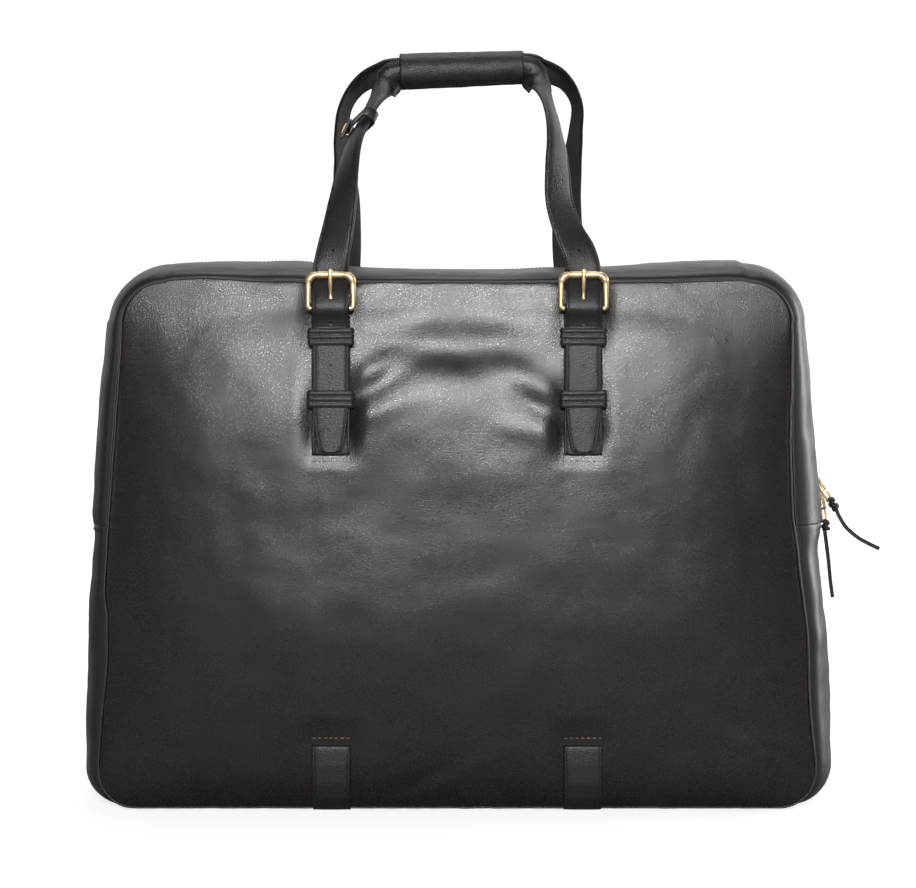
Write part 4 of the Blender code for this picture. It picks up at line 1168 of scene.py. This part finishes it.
def strap_point(frame_here, half, cup, a, b):
    """A strap's point at a across and b out, and the way out there. Cupping curls its width."""
    here, crosswise, normal, _ = frame_here
    if cup <= 0.02:
        return here + crosswise * a + normal * b, normal
    radius = half * 2 / cup
    angle = a / radius
    place = here + crosswise * (radius + b) * math.sin(angle)
    place += normal * ((radius + b) * math.cos(angle) - radius)
    return place, (normal * math.cos(angle) + crosswise * math.sin(angle)).normalized()


def sweep_strap(name, frames, thickness, half_at, back_material=None, cups=None):
    """A strap along frames of (point, crosswise, normal, distance)."""
    rows = []
    for here, cup in zip(frames, cups or [0.0] * len(frames)):
        half = half_at(here[3])
        rows.append([strap_point(here, half, cup, a, b)[0] for a, b in strap_section(half, thickness)])
    strap = surface(name, rows, STRAP_LEATHER_SKIN, wrap_wide=True, capped=True)
    if back_material:
        strap.data.materials.append(back_material)
        around = len(rows[0])
        for face in strap.data.polygons:
            if face.index < (len(rows) - 1) * around and face.index % around >= around - BACK_POINTS:
                face.material_index = 1
    return strap


def edge_lines(frames, half_at, lift, cups=None):
    """The stitch lines inside a strap's two edges, with the face's normals."""
    lines = []
    for way in (-1, 1):
        points, normals = [], []
        for here, cup in zip(frames, cups or [0.0] * len(frames)):
            half = half_at(here[3])
            place, normal = strap_point(here, half, cup, way * (half - EDGE_TO_STITCH), lift)
            points.append(place)
            normals.append(normal)
        lines.append((points, normals))
    return lines


def depth_frames(path, x, sign):
    """Frames down a strap that follows a path of (depth, z) on one face."""
    frames, gone = [], 0.0
    points = [Vector((x, sign * d, z)) for d, z in path]
    for i, here in enumerate(points):
        normal = way_at(points, i).cross(ACROSS).normalized() * -sign
        if i:
            gone += (here - points[i - 1]).length
        frames.append((here, ACROSS, normal, gone))
    return frames


def rounded_path(corners, steps=6):
    """A path through (a, b, radius) corners, each turned on its radius."""
    path = [corners[0][:2]]
    for before, (a, b, radius), after in zip(corners, corners[1:], corners[2:]):
        here = Vector((a, b))
        back, ahead = (Vector(before[:2]) - here).normalized(), (Vector(after[:2]) - here).normalized()
        opening = back.angle(ahead)
        if radius == 0 or opening > math.pi - 0.01:
            path.append((a, b))
            continue
        reach = radius / math.tan(opening / 2)
        middle = here + (back + ahead).normalized() * radius / math.sin(opening / 2)
        start, end = here + back * reach - middle, here + ahead * reach - middle
        for i in range(steps + 1):
            path.append(tuple(middle + start.normalized().slerp(end.normalized(), i / steps) * radius))
    path.append(corners[-1][:2])
    return path


def support_path():
    """(depth, z) down one face, from the loop round the heel bar to the middle of the base."""
    flap = [(0.1012, 0.4135), (0.1012, 0.4155), (0.1011, 0.4175)]
    turn = []
    for i in range(21):
        angle = math.radians(-50 + 230 * i / 20)
        turn.append((BAR_DEPTH + LOOP_RADIUS * math.cos(angle), HEEL_BAR + LOOP_RADIUS * math.sin(angle)))
    corners = [
        (SUPPORT_DEPTH, HEEL_BAR - 0.002, 0),
        (SUPPORT_DEPTH, SLIT_HIGH, 0.0018),
        (INSIDE_DEPTH, SLIT_HIGH, 0.0018),
        (INSIDE_DEPTH, SLIT_LOW, 0.0018),
        (0.0970, SLIT_LOW, 0.0018),
        (0.0968, 0.040, 0.05),
        (0.0955, 0.024, 0.03),
        (0.0928, 0.012, 0.012),
        (0.0885, 0.0045, 0.006),
        (0.0830, 0.0011, 0.006),
        (0.0, 0.0011, 0),
    ]
    return flap + turn + rounded_path(corners)


def fill_path(path, spacing):
    """The path with no step longer than this."""
    filled = [path[0]]
    for before, after in zip(path, path[1:]):
        gap = math.dist(before, after)
        steps = max(int(math.ceil(gap / spacing)), 1)
        for k in range(1, steps + 1):
            filled.append(tuple(b + (a - b) * k / steps for b, a in zip(before, after)))
    return filled


def support_half(_):
    return SUPPORT_WIDTH / 2


def build_support_straps():
    """Each support strap: one length from a rear buckle, under the bag, to a front buckle."""
    half_path = fill_path(support_path(), 0.005)
    for end, way in ENDS.items():
        front = depth_frames(half_path, way * STRAP_X, -1)
        rear = depth_frames(half_path, way * STRAP_X, 1)
        length = front[-1][3]
        frames = front + [(p, c, n, 2 * length - gone) for p, c, n, gone in rear[-2::-1]]
        strap = sweep_strap("support_leather_" + end, frames, SUPPORT_LEATHER, support_half)
        settle(strap, "bag", "strap_leather", "support_strap_" + end)
        lines = []
        for run in (front, rear):
            low = [f for f in run if f[0].z < SLIT_LOW - 0.004]
            high = [f for f in run if SLIT_HIGH + 0.006 < f[0].z < HEEL_BAR - 0.012 and abs(f[0].y) > 0.097]
            for seen in (low, high):
                lines += edge_lines(seen, support_half, 0.0009)
        sewn = stitches("support_stitching_" + end, lines, BLACK_THREAD)
        settle(sewn, "bag", "strap_leather")


def build_slit_stitches():
    """The light thread that holds each support strap behind its slit."""
    for side, sign in SIDES.items():
        lines = []
        for way in ENDS.values():
            for level in (SLIT_HIGH - 0.0055, SLIT_LOW + 0.0065):
                x = way * STRAP_X
                depth = panel_depth(x, level, seam_half_width(level), [], 0) + 0.0002
                reach = np.linspace(-0.0165, 0.0165, 9)
                line = [Vector((x + a, sign * depth, level)) for a in reach]
                lines.append((line, [Vector((0, sign, 0))] * len(line)))
        sewn = stitches("slit_stitching_" + side, lines, TAN_THREAD, pitch=0.0047, radius=0.00042)
        settle(sewn, "bag", "panel_leather")


CORNER_SWELL = 0.32  # of a buckle's upper corners
FRAME_SWELL = 1.28  # of a buckle's wire over the frame's design


def buckle_ring(x, sign):
    """The middle line of a buckle frame, and how thick it is at each point."""
    low, high, half = HEEL_BAR, TOP_BAR, FRAME_HALF_WIDTH
    small, large = 0.0022, 0.0072
    points, radii = [], []
    for cx, cz, radius, turn in (
        (half - small, low + small, small, 270),
        (half - large, high - large, large, 0),
        (-half + large, high - large, large, 90),
        (-half + small, low + small, small, 180),
    ):
        for i in range(13):
            angle = math.radians(turn + 90 * i / 12)
            place = (x + cx + radius * math.cos(angle), sign * BAR_DEPTH, cz + radius * math.sin(angle))
            points.append(Vector(place))
            radii.append(1 + CORNER_SWELL * math.sin(math.pi * i / 12) if radius == large else 0.95)
    return points, radii


def build_buckle_frame(x, sign, tag):
    points, radii = buckle_ring(x, sign)
    filled, sizes = [], []
    for i, here in enumerate(points):
        after, size = (i + 1) % len(points), radii[i]
        steps = max(int(math.ceil((points[after] - here).length / 0.0016)), 1)
        for k in range(steps):
            filled.append(here.lerp(points[after], k / steps))
            arm = abs(filled[-1].x - x) > FRAME_HALF_WIDTH - 0.001
            sizes.append((size + (radii[after] - size) * k / steps) * (1.06 if arm else 1.0))
    radius = BAR_RADIUS * FRAME_SWELL
    ring = tube("buckle" + tag, filled, radius, BRASS, closed=True, sides=16, up=DEPTHWAYS, radii=sizes)
    settle(ring, "bag", "brass", "buckle_frame" + tag)


def build_roller(x, sign, tag):
    """The thin brass tube that turns on a buckle's top bar."""
    half, wall = ROLLER_LENGTH / 2, ROLLER_RADIUS
    profile = [(-half, wall - 0.0006), (-half, wall - 0.0003), (-half + 0.0004, wall), (half - 0.0004, wall)]
    profile += [(half, wall - 0.0003), (half, wall - 0.0006), (-half, wall - 0.0006)]
    rows = []
    for k in range(36):
        angle = 2 * math.pi * k / 36
        c, s = math.cos(angle), math.sin(angle)
        rows.append([Vector((x + a, sign * BAR_DEPTH + r * c, TOP_BAR + r * s)) for a, r in profile])
    roller = surface("roller" + tag, rows, BRASS, wrap_tall=True)
    roller.data.set_sharp_from_angle(angle=math.radians(35))
    settle(roller, "roller" + tag, "brass", "buckle_roller" + tag)


def build_prong(x, sign, tag):
    """A bent wire tongue and the hoop that holds it on the heel bar."""
    line = [Vector((x, sign * d, z)) for d, z in PRONG_LINE]
    path = [p[0] for p in smooth_through([(p,) for p in line], 5)]
    tongue = tube("tongue", path, 0.0018, BRASS, sides=14, flat=0.8, up=DEPTHWAYS)
    bar = Vector((x, sign * BAR_DEPTH, HEEL_BAR))
    hoop = circle(bar, DEPTHWAYS, UPWARD, 0.0028, 24)
    ring = tube("hoop", hoop, 0.0006, BRASS, closed=True, sides=10, up=ACROSS)
    prong = join("prong" + tag, [tongue, ring])
    settle(prong, "prong" + tag, "brass", "buckle_prong" + tag)


def build_buckle(side, end):
    placed = (ENDS[end] * STRAP_X, SIDES[side], f"_{side}_{end}")
    build_buckle_frame(*placed)
    build_roller(*placed)
    build_prong(*placed)


def keeper_section():
    """(along, out) round a keeper's wall: three raised ribs outside, flat inside."""
    half = KEEPER_HEIGHT / 2
    outer = []
    for k in range(37):
        a = -half + 2 * half * k / 36
        ribs = 0.00032 * math.cos(2 * math.pi * a / (KEEPER_HEIGHT / 3))
        edge = min((half - abs(a)) / 0.0009, 1)
        outer.append((a, 0.00115 + ribs * edge - 0.0006 * (1 - edge) ** 2))
    return outer + [(half - 0.0002, 0.0001), (half * 0.5, 0.0), (-half * 0.5, 0.0), (-half + 0.0002, 0.0001)]


KEEPER_LEAN = {  # rise over run, as each keeper sits slightly askew
    "upper": {"left": 0.008, "right": -0.006},
    "lower": {"left": -0.004, "right": 0.010},
}
KEEPER_INSIDE = 0.00308


def build_keeper(side, end, level, z):
    """A leather band round a strap, ribbed and sewn. The upper ones are fixed, and the lower ones slide."""
    sign, x = SIDES[side], ENDS[end] * STRAP_X
    tag = f"{level}_{side}_{end}"
    lean = KEEPER_LEAN[level][end]
    path = rounded_box(KEEPER_WIDTH / 2 - 0.0013, KEEPER_INSIDE, 0.0018)
    rows = []
    for i, (a, b) in enumerate(path):
        along = loop_way(path, i)
        row = []
        for height, reach in keeper_section():
            across, depth = a + along.y * reach, b - along.x * reach
            row.append(Vector((x + across, sign * KEEPER_DEPTH + depth, z + height + across * lean)))
        rows.append(row)
    keeper = surface("keeper_loop_" + tag, rows, STRAP_LEATHER_SKIN, wrap_tall=True, wrap_wide=True)
    lines = []
    face = sign * (KEEPER_DEPTH + KEEPER_INSIDE + 0.00098)
    reach = KEEPER_WIDTH / 2 - 0.0035
    for height in (-KEEPER_HEIGHT / 6, KEEPER_HEIGHT / 6):
        line = [Vector((x + a, face, z + height + a * lean)) for a in np.linspace(-reach, reach, 10)]
        lines.append((line, [Vector((0, sign, 0))] * len(line)))
    sewn = stitches("keeper_stitching_" + tag, lines, BLACK_THREAD, pitch=0.0030, radius=0.00048)
    body = "bag" if level == "upper" else f"keeper_{side}_{end}"
    settle(keeper, body, "strap_leather", "keeper_" + tag)
    settle(sewn, body, "strap_leather")


# ---- The handle straps ----


def handle_stations(side):
    """(point, lean, cup) from a handle strap's left tip, over the top and down to its right tip."""
    left, right = {"front": (FRONT_LEFT, FRONT_RIGHT), "rear": (REAR_LEFT, REAR_RIGHT)}[side]
    lean, sign = GRIP_LEAN[side], SIDES[side]
    turn = math.radians(lean)
    grip = []
    for share in (0.0, 0.5, 1.0):
        middle = GRIP_LEFT.lerp(GRIP_RIGHT, share)
        rise = middle.z + STRAP_RING * math.sin(turn)
        grip.append((middle.x, STRAP_RING * math.cos(turn), rise, lean, GRIP_CUP))
    left_tail = [(-STRAP_X, d, z, 0, 0) for d, z in TAIL_PATH]
    right_tail = [(STRAP_X, d, z, 0, 0) for d, z in TAIL_PATH[::-1]]
    stations = left_tail + left + grip + right[::-1] + right_tail
    return [(Vector((x, sign * d, z)), float(a), float(c)) for x, d, z, a, c in stations]


def facing_out(way, sign, lean):
    """The way a handle strap faces: square-on, leaned towards the arch's outside by this many degrees."""
    outside = Vector((-way.z, 0, way.x)).normalized()
    turn = math.radians(lean)
    normal = Vector((0, sign, 0)) * math.cos(turn) + outside * math.sin(turn)
    return (normal - way * normal.dot(way)).normalized()


def handle_run(side, steps):
    """The strap's frames from tip to tip, with the cupping at each, and its whole length."""
    laid = smooth_through(handle_stations(side), steps)
    points = [station[0] for station in laid]
    frames, cups, gone = [], [], 0.0
    for i, (here, lean, cup) in enumerate(laid):
        way = way_at(points, i)
        normal = facing_out(way, SIDES[side], lean)
        if i:
            gone += (here - points[i - 1]).length
        frames.append((here, normal.cross(way), normal, gone))
        cups.append(math.radians(max(cup, 0.0)))
    return frames, cups, gone


def strap_half_width(whole):
    """The strap's half width at a distance along it: tapered to a square tip with round corners."""

    def half_at(gone):
        tip = min(gone, whole - gone)
        full = STRAP_WIDTH / 2
        if tip >= TIP_LENGTH:
            return full
        half = TIP_HALF_WIDTH + (full - TIP_HALF_WIDTH) * (tip / TIP_LENGTH) ** 0.62
        if tip < TIP_CORNER:
            half -= TIP_CORNER - math.sqrt(max(TIP_CORNER**2 - (TIP_CORNER - tip) ** 2, 0))
        return half

    return half_at


def cut_away(strap, shapes):
    """Cuts closed bmesh shapes out of a strap, each set in its place by a matrix."""
    cutters = []
    for made, place in shapes:
        mesh = bpy.data.meshes.new("cutter")
        made.to_mesh(mesh)
        made.free()
        cutter = place_in_scene("cutter", mesh)
        cutter.matrix_world = place
        cutters.append(cutter)
        hole = strap.modifiers.new("hole", "BOOLEAN")
        hole.operation = "DIFFERENCE"
        hole.object = cutter
    baked(strap)
    for cutter in cutters:
        bpy.data.objects.remove(cutter, do_unlink=True)


def punch(strap, places):
    """Round holes through a strap at (point, way through) places."""
    shapes = []
    for centre, way in places:
        made = bmesh.new()
        round_hole = {"segments": 20, "radius1": HOLE_RADIUS, "radius2": HOLE_RADIUS, "depth": 0.012}
        bmesh.ops.create_cone(made, cap_ends=True, **round_hole)
        shapes.append((made, Matrix.Translation(centre) @ way.to_track_quat("Z", "Y").to_matrix().to_4x4()))
    cut_away(strap, shapes)


def cut_prong_slots(strap, sign):
    """The slots that the two prongs stand in and lift through."""
    for way in (-1, 1):
        made = bmesh.new()
        middle = Vector((way * STRAP_X, sign * 0.104, PRONG_SLOT_LEVEL))
        sizes = Matrix.Diagonal((*PRONG_SLOT, 1))
        bmesh.ops.create_cube(made, size=1, matrix=Matrix.Translation(middle) @ sizes)
        cut_away(strap, [(made, Matrix.Identity(4))])


def tip_line(frames, whole, half_at):
    """The stitch line across a strap's tip, at both ends."""
    lines = []
    for end in (0, 1):
        near = [f for f in frames if (f[3] if end == 0 else whole - f[3]) > EDGE_TO_STITCH + 0.0004]
        here, crosswise, normal, gone = near[0] if end == 0 else near[-1]
        half = half_at(gone) - EDGE_TO_STITCH
        line = [here + crosswise * a + normal * 0.0013 for a in np.linspace(-half, half, 8)]
        lines.append((line, [normal] * len(line)))
    return lines


def blend_into_handle(piece):
    """Bakes a piece's placement into its mesh."""
    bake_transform(piece)


def build_handle_strap(side):
    """A handle strap from tip to tip, with its holes, slots, suede back and edge stitching."""
    sign = SIDES[side]
    frames, cups, whole = handle_run(side, 6)
    half_at = strap_half_width(whole)
    tips = [0.0004, 0.0010, 0.0018, 0.0026]
    first, last = frames[0], frames[-1]
    ahead = (frames[1][0] - first[0]).normalized()
    behind = (last[0] - frames[-2][0]).normalized()
    extra = [(first[0] + ahead * t, first[1], first[2], t) for t in tips]
    extra_end = [(last[0] - behind * t, last[1], last[2], whole - t) for t in tips[::-1]]
    body = [(f, c) for f, c in zip(frames, cups) if tips[-1] + 0.001 < f[3] < whole - tips[-1] - 0.001]
    frames = [first] + extra + [f for f, _ in body] + extra_end + [last]
    flat_end = [0.0] * (1 + len(extra))
    cups = flat_end + [c for _, c in body] + flat_end
    strap = sweep_strap("handle_leather_" + side, frames, STRAP_LEATHER, half_at, SUEDE, cups)
    holes = []
    for way in (-1, 1):
        holes += [(Vector((way * STRAP_X, sign * 0.1020, z)), Vector((0, sign, 0))) for z in TAIL_HOLES]
    for run in (frames, frames[::-1]):
        spare = next(f for f in run if f[0].z > FLEX_LOW + HANDLE_HOLE)
        holes.append((spare[0], spare[2]))
    cut_prong_slots(strap, sign)
    punch(strap, holes)
    nodes = [f"strap_{part}_{side}_{end}" for part in ("tail", "flex") for end in ENDS]
    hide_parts("handle_strap_" + side, *nodes)
    blend_into_handle(strap)
    inner = [(f, c) for f, c in zip(frames, cups) if EDGE_TO_STITCH < f[3] < whole - EDGE_TO_STITCH]
    lines = edge_lines([f for f, _ in inner], half_at, 0.0011, [c for _, c in inner])
    lines += tip_line(frames, whole, half_at)
    blend_into_handle(stitches("handle_stitching_" + side, lines, BLACK_THREAD))


GRIP_RADIUS = 0.01615  # at its left end
GRIP_TAPER = 0.0013  # less at its right end
GRIP_BORE = 0.0131
GRIP_SEWN = 0.0045  # distance of the stitched grooves from its ends
GRIP_FLATTENING = 0.035  # share that its radius loses front and back
LAP_ANGLE = 4.55  # where the wrap's edge laps over, and its stitches below, in radians from the rear
LAP_STITCH_ANGLE = 4.44


def build_grip():
    """The padded wrap that holds both handle straps together, lapped and sewn along its underside."""
    axis = (GRIP_RIGHT - GRIP_LEFT).normalized()
    half = (GRIP_RIGHT - GRIP_LEFT).length / 2
    middle = (GRIP_LEFT + GRIP_RIGHT) / 2
    up = DEPTHWAYS.cross(axis)
    grooves = (-half + GRIP_SEWN, half - GRIP_SEWN)
    if up.z < 0:
        up = -up

    def radius_at(along):
        return GRIP_RADIUS - GRIP_TAPER * (along + half) / (2 * half)

    def way_out(angle):
        return DEPTHWAYS * math.cos(angle) + up * math.sin(angle)

    levels = [(-half, GRIP_BORE), (-half, 0.0150), (-half + 0.0004, 0.0156), (-half + 0.0014, 0.0161)]
    for t in np.linspace(-half + 0.003, half - 0.003, 42):
        pressed = sum(0.00055 * math.exp(-(((t - end) / 0.0011) ** 2)) for end in grooves)
        levels.append((t, radius_at(t) - pressed))
    levels += [(half - 0.0014, 0.0148), (half - 0.0004, 0.0144), (half, 0.0139), (half, GRIP_BORE)]
    rows = []
    for along, radius in levels:
        row = []
        outer = radius > GRIP_BORE + 0.0004
        for k in range(64):
            angle = 2 * math.pi * k / 64
            out = radius * (1 - GRIP_FLATTENING * math.cos(angle) ** 2)
            if outer:
                out += 0.0004 * ripple(along, 0.02 * math.cos(angle), 0.02 * math.sin(angle), 60, 4.0)
                out += 0.0009 * max(0, 1 - abs((angle - LAP_ANGLE) / 0.10))
            row.append(middle + axis * along + way_out(angle) * out)
        rows.append(row)
    wrap = surface("grip_leather", rows, GRIP_LEATHER, wrap_wide=True)
    thicken(wrap, 0.0012, middle)
    settle(wrap, "handle", "strap_leather", "grip_wrap")
    lines = []
    for end in grooves:
        normals = [way_out(2 * math.pi * k / 48) for k in range(49)]
        reach = [(radius_at(end) - 0.0004) * (1 - GRIP_FLATTENING * n.y**2) for n in normals]
        lines.append(([middle + axis * end + n * r for n, r in zip(normals, reach)], normals))
    below = way_out(LAP_STITCH_ANGLE)
    run = np.linspace(-half + 0.006, half - 0.006, 30)
    seam = [middle + axis * a + below * (radius_at(a) - 0.00015) for a in run]
    lines.append((seam, [below] * len(seam)))
    settle(stitches("grip_stitching", lines, BLACK_THREAD, pitch=0.0032), "handle", "strap_leather")


def tag_frame():
    """The tag loop's middle and axes, where it sits on the front left strap."""
    left = handle_stations("front")[len(TAIL_PATH):]
    laid = smooth_through(left, 8)
    gone = 0.0
    for before, after in zip(laid, laid[1:]):
        gone += (after[0] - before[0]).length
        if gone >= TAG_PLACE:
            way = (after[0] - before[0]).normalized()
            normal = facing_out(way, -1, after[1])
            return after[0] - normal * TAG_DROP, way, normal, normal.cross(way)
    raise ValueError("the tag loop's place is past the strap's end")


def build_tag_loop():
    """A narrow leather strap round the front left strap, closed by a small brass buckle."""
    centre, way, normal, crosswise = tag_frame()
    path = rounded_box(0.0166, 0.0059, 0.0042, 8)
    half = 0.0056
    edge = [(-half, 0.0006), (-half + 0.0006, 0.0009), (-half + 0.0013, 0.0008), (-half + 0.0018, 0.00055)]
    section = edge + [(0.0, 0.0009)] + [(-h, r) for h, r in edge[::-1]]
    section += [(half, -0.0006), (0.0, -0.0007), (-half, -0.0006)]
    rows = []
    for i, (a, b) in enumerate(path):
        along = loop_way(path, i)
        place = [(a + along.y * r, b - along.x * r, h) for h, r in section]
        rows.append([centre + crosswise * c + normal * n + way * h for c, n, h in place])
    band = surface("tag_band", rows, STRAP_LEATHER_SKIN, wrap_tall=True, wrap_wide=True)
    tail_rows = []
    outline = ((1, 0), (0.9, 1), (-0.9, 1), (-1, 0), (-0.9, -1), (0.9, -1))
    for t, wide in ((-0.004, 0.0036), (0.004, 0.0040), (0.010, 0.0038), (0.0135, 0.0024)):
        here = centre + crosswise * (0.0118 + t * 0.25) + normal * (0.0078 - t * 0.05) - way * t
        tail_rows.append([here + crosswise * wide * c + normal * 0.0006 * n for c, n in outline])
    tail = surface("tag_tail", tail_rows, STRAP_LEATHER_SKIN, wrap_wide=True, capped=True)
    loop = join("tag_loop_leather", [band, tail])
    settle(loop, "tag_loop", "strap_leather", "tag_loop_strap")
    corner = centre + crosswise * 0.0168 + normal * 0.0050
    slanted = crosswise * 0.6 + normal * 0.9
    ring = [corner + slanted * a + way * b for a, b in rounded_box(0.0030, 0.0062, 0.0016)]
    wire = tube("ring", ring, 0.00085, BRASS, closed=True, up=(crosswise + normal).normalized())
    pin = [corner + way * b for b in (-0.006, 0.0, 0.006)]
    bar = tube("bar", pin, 0.0006, BRASS, up=slanted.normalized())
    settle(join("tag_buckle_brass", [wire, bar]), "tag_loop", "brass", "tag_buckle")


# ---- Inside, the CAD nodes that stay, and the stage ----


def dress(name, material):
    """Gives a CAD node its detailed material."""
    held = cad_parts[name]
    held.data.materials.clear()
    held.data.materials.append(material)


# Strengths of the studio's surroundings: before the bag, behind it, of the floor round it, and seen as white
DIM_FRONT = 0.05
BRIGHT_BACK = 1.5
PAPER_GLOW = 0.80
WHITE = 1.1

# Each light's name, place, target, size and power in watts
LIGHTS = (
    ("key", (0.0, -2.7, 1.05), (0, 0, 0.36), (1.0, 0.42), 66),
    ("fill_left", (-2.2, -1.2, 0.9), (0, 0, 0.4), (0.5, 0.9), 6),
    ("fill_right", (2.2, -1.2, 0.9), (0, 0, 0.4), (0.5, 0.9), 6),
    ("overhead", (0.0, 0.2, 2.2), (0, 0, 0.3), (1.2, 0.6), 12),
    ("right", (2.0, 0.5, 0.6), (0, 0, 0.25), (0.5, 1.2), 26),
)


def build_stage():
    """A wide pale floor that glows to the camera only, least round the bag, so that its shadow shows."""
    bpy.ops.mesh.primitive_plane_add(size=60, location=(0, 0, -0.0004))
    floor = bpy.context.object
    floor.name = "studio_floor"
    made, tree, shader = shader_of("studio floor")
    place = object_place(tree)
    paper = blend_colours(tree, grains(tree, place, 3.0, 2.0), (0.30, 0.30, 0.30), (0.32, 0.32, 0.32))
    tree.links.new(paper, shader.inputs["Base Color"])
    shader.inputs["Roughness"].default_value = 0.8
    shader.inputs["Emission Color"].default_value = (1, 1, 1, 1)
    seen = node(tree, "ShaderNodeLightPath").outputs["Is Camera Ray"]
    far = node(tree, "ShaderNodeVectorMath", {"operation": "LENGTH"}, n0=place).outputs["Value"]
    glow = spread(tree, far, 0.35, 1.6, PAPER_GLOW, WHITE)
    tree.links.new(arithmetic(tree, "MULTIPLY", seen, glow), shader.inputs["Emission Strength"])
    floor.data.materials.append(made)


def add_light(name, place, target, size, power):
    data = bpy.data.lights.new(name, "AREA")
    data.shape = "RECTANGLE"
    data.size, data.size_y = size
    data.energy = power
    light = bpy.data.objects.new(name, data)
    light.location = place
    light.rotation_mode = "QUATERNION"
    light.rotation_quaternion = (Vector(target) - Vector(place)).to_track_quat("-Z", "Y")
    bpy.context.scene.collection.objects.link(light)


def build_world():
    """A studio that is dim in front, bright behind, and brighter on the right than on the left."""
    world = bpy.data.worlds.new("studio")
    bpy.context.scene.world = world
    world.use_nodes = True
    tree = world.node_tree
    shader = tree.nodes["Background"]
    way = node(tree, "ShaderNodeTexCoord").outputs["Generated"]
    parts = node(tree, "ShaderNodeSeparateXYZ", Vector=way)
    back = spread(tree, parts.outputs["Y"], 0.10, 0.75, DIM_FRONT, BRIGHT_BACK)
    side = spread(tree, parts.outputs["X"], -0.6, 0.6, 0.45, 1.0)
    lit = arithmetic(tree, "MULTIPLY", back, side)
    seen = node(tree, "ShaderNodeLightPath").outputs["Is Camera Ray"]
    strength = node(tree, "ShaderNodeMix", {"data_type": "FLOAT"}, n0=seen, n2=lit, n3=WHITE).outputs[0]
    tree.links.new(strength, shader.inputs["Strength"])
    shader.inputs["Color"].default_value = (1, 1, 1, 1)
    bpy.context.scene.view_settings.view_transform = "Standard"


LENS = 84.7
LENS_SHIFT = -0.0797
CAMERA_PLACE = (0.0008, -1.9, 0.37)


def build_camera():
    """A long lens, level and square to the bag's front."""
    data = bpy.data.cameras.new("camera")
    data.sensor_width = 36
    data.lens = LENS
    data.shift_y = LENS_SHIFT
    camera = bpy.data.objects.new("camera", data)
    camera.location = CAMERA_PLACE
    camera.rotation_euler = (math.pi / 2, 0, 0)
    bpy.context.scene.collection.objects.link(camera)
    bpy.context.scene.camera = camera


build_camera()
build_world()
build_stage()
for light_set in LIGHTS:
    add_light(*light_set)

for level_name, z_at, knot_at, route in (
    ("upper", UPPER_SLIDER, UPPER_KNOT, UPPER_THONG),
    ("lower", LOWER_SLIDER, LOWER_KNOT, LOWER_THONG),
):
    slider_middle, slider_out, _ = slider_frame(z_at)
    hang = (knot_at - slider_middle - slider_out * BAIL_HEIGHT).normalized()
    build_thong(level_name, route, knot_at, hang)
    build_slider(level_name, z_at)
    build_pull(level_name, z_at, knot_at)

upper_path, lower_path = split_outline(0.0045)
for side_name, bumps_of, seed_of in (("front", FRONT_RELIEF, 1.7), ("rear", REAR_RELIEF, 6.3)):
    build_panel(side_name, bumps_of, seed_of)
    build_seam_edge(side_name)
    build_upper_gusset(side_name, upper_path)
    build_zip_tape(side_name, upper_path)
    build_teeth(side_name, upper_path)
    build_handle_strap(side_name)
    for end_name in ENDS:
        build_buckle(side_name, end_name)
        build_keeper(side_name, end_name, "upper", UPPER_KEEPER)
        build_keeper(side_name, end_name, "lower", LOWER_KEEPER)
build_lower_gusset(lower_path)
build_support_straps()
build_slit_stitches()
build_grip()
build_tag_loop()
for node_name, finish in (("lining", LINING_CLOTH), ("base_board", BOARD), ("grip_core", CORE_CORD)):
    dress(node_name, finish)
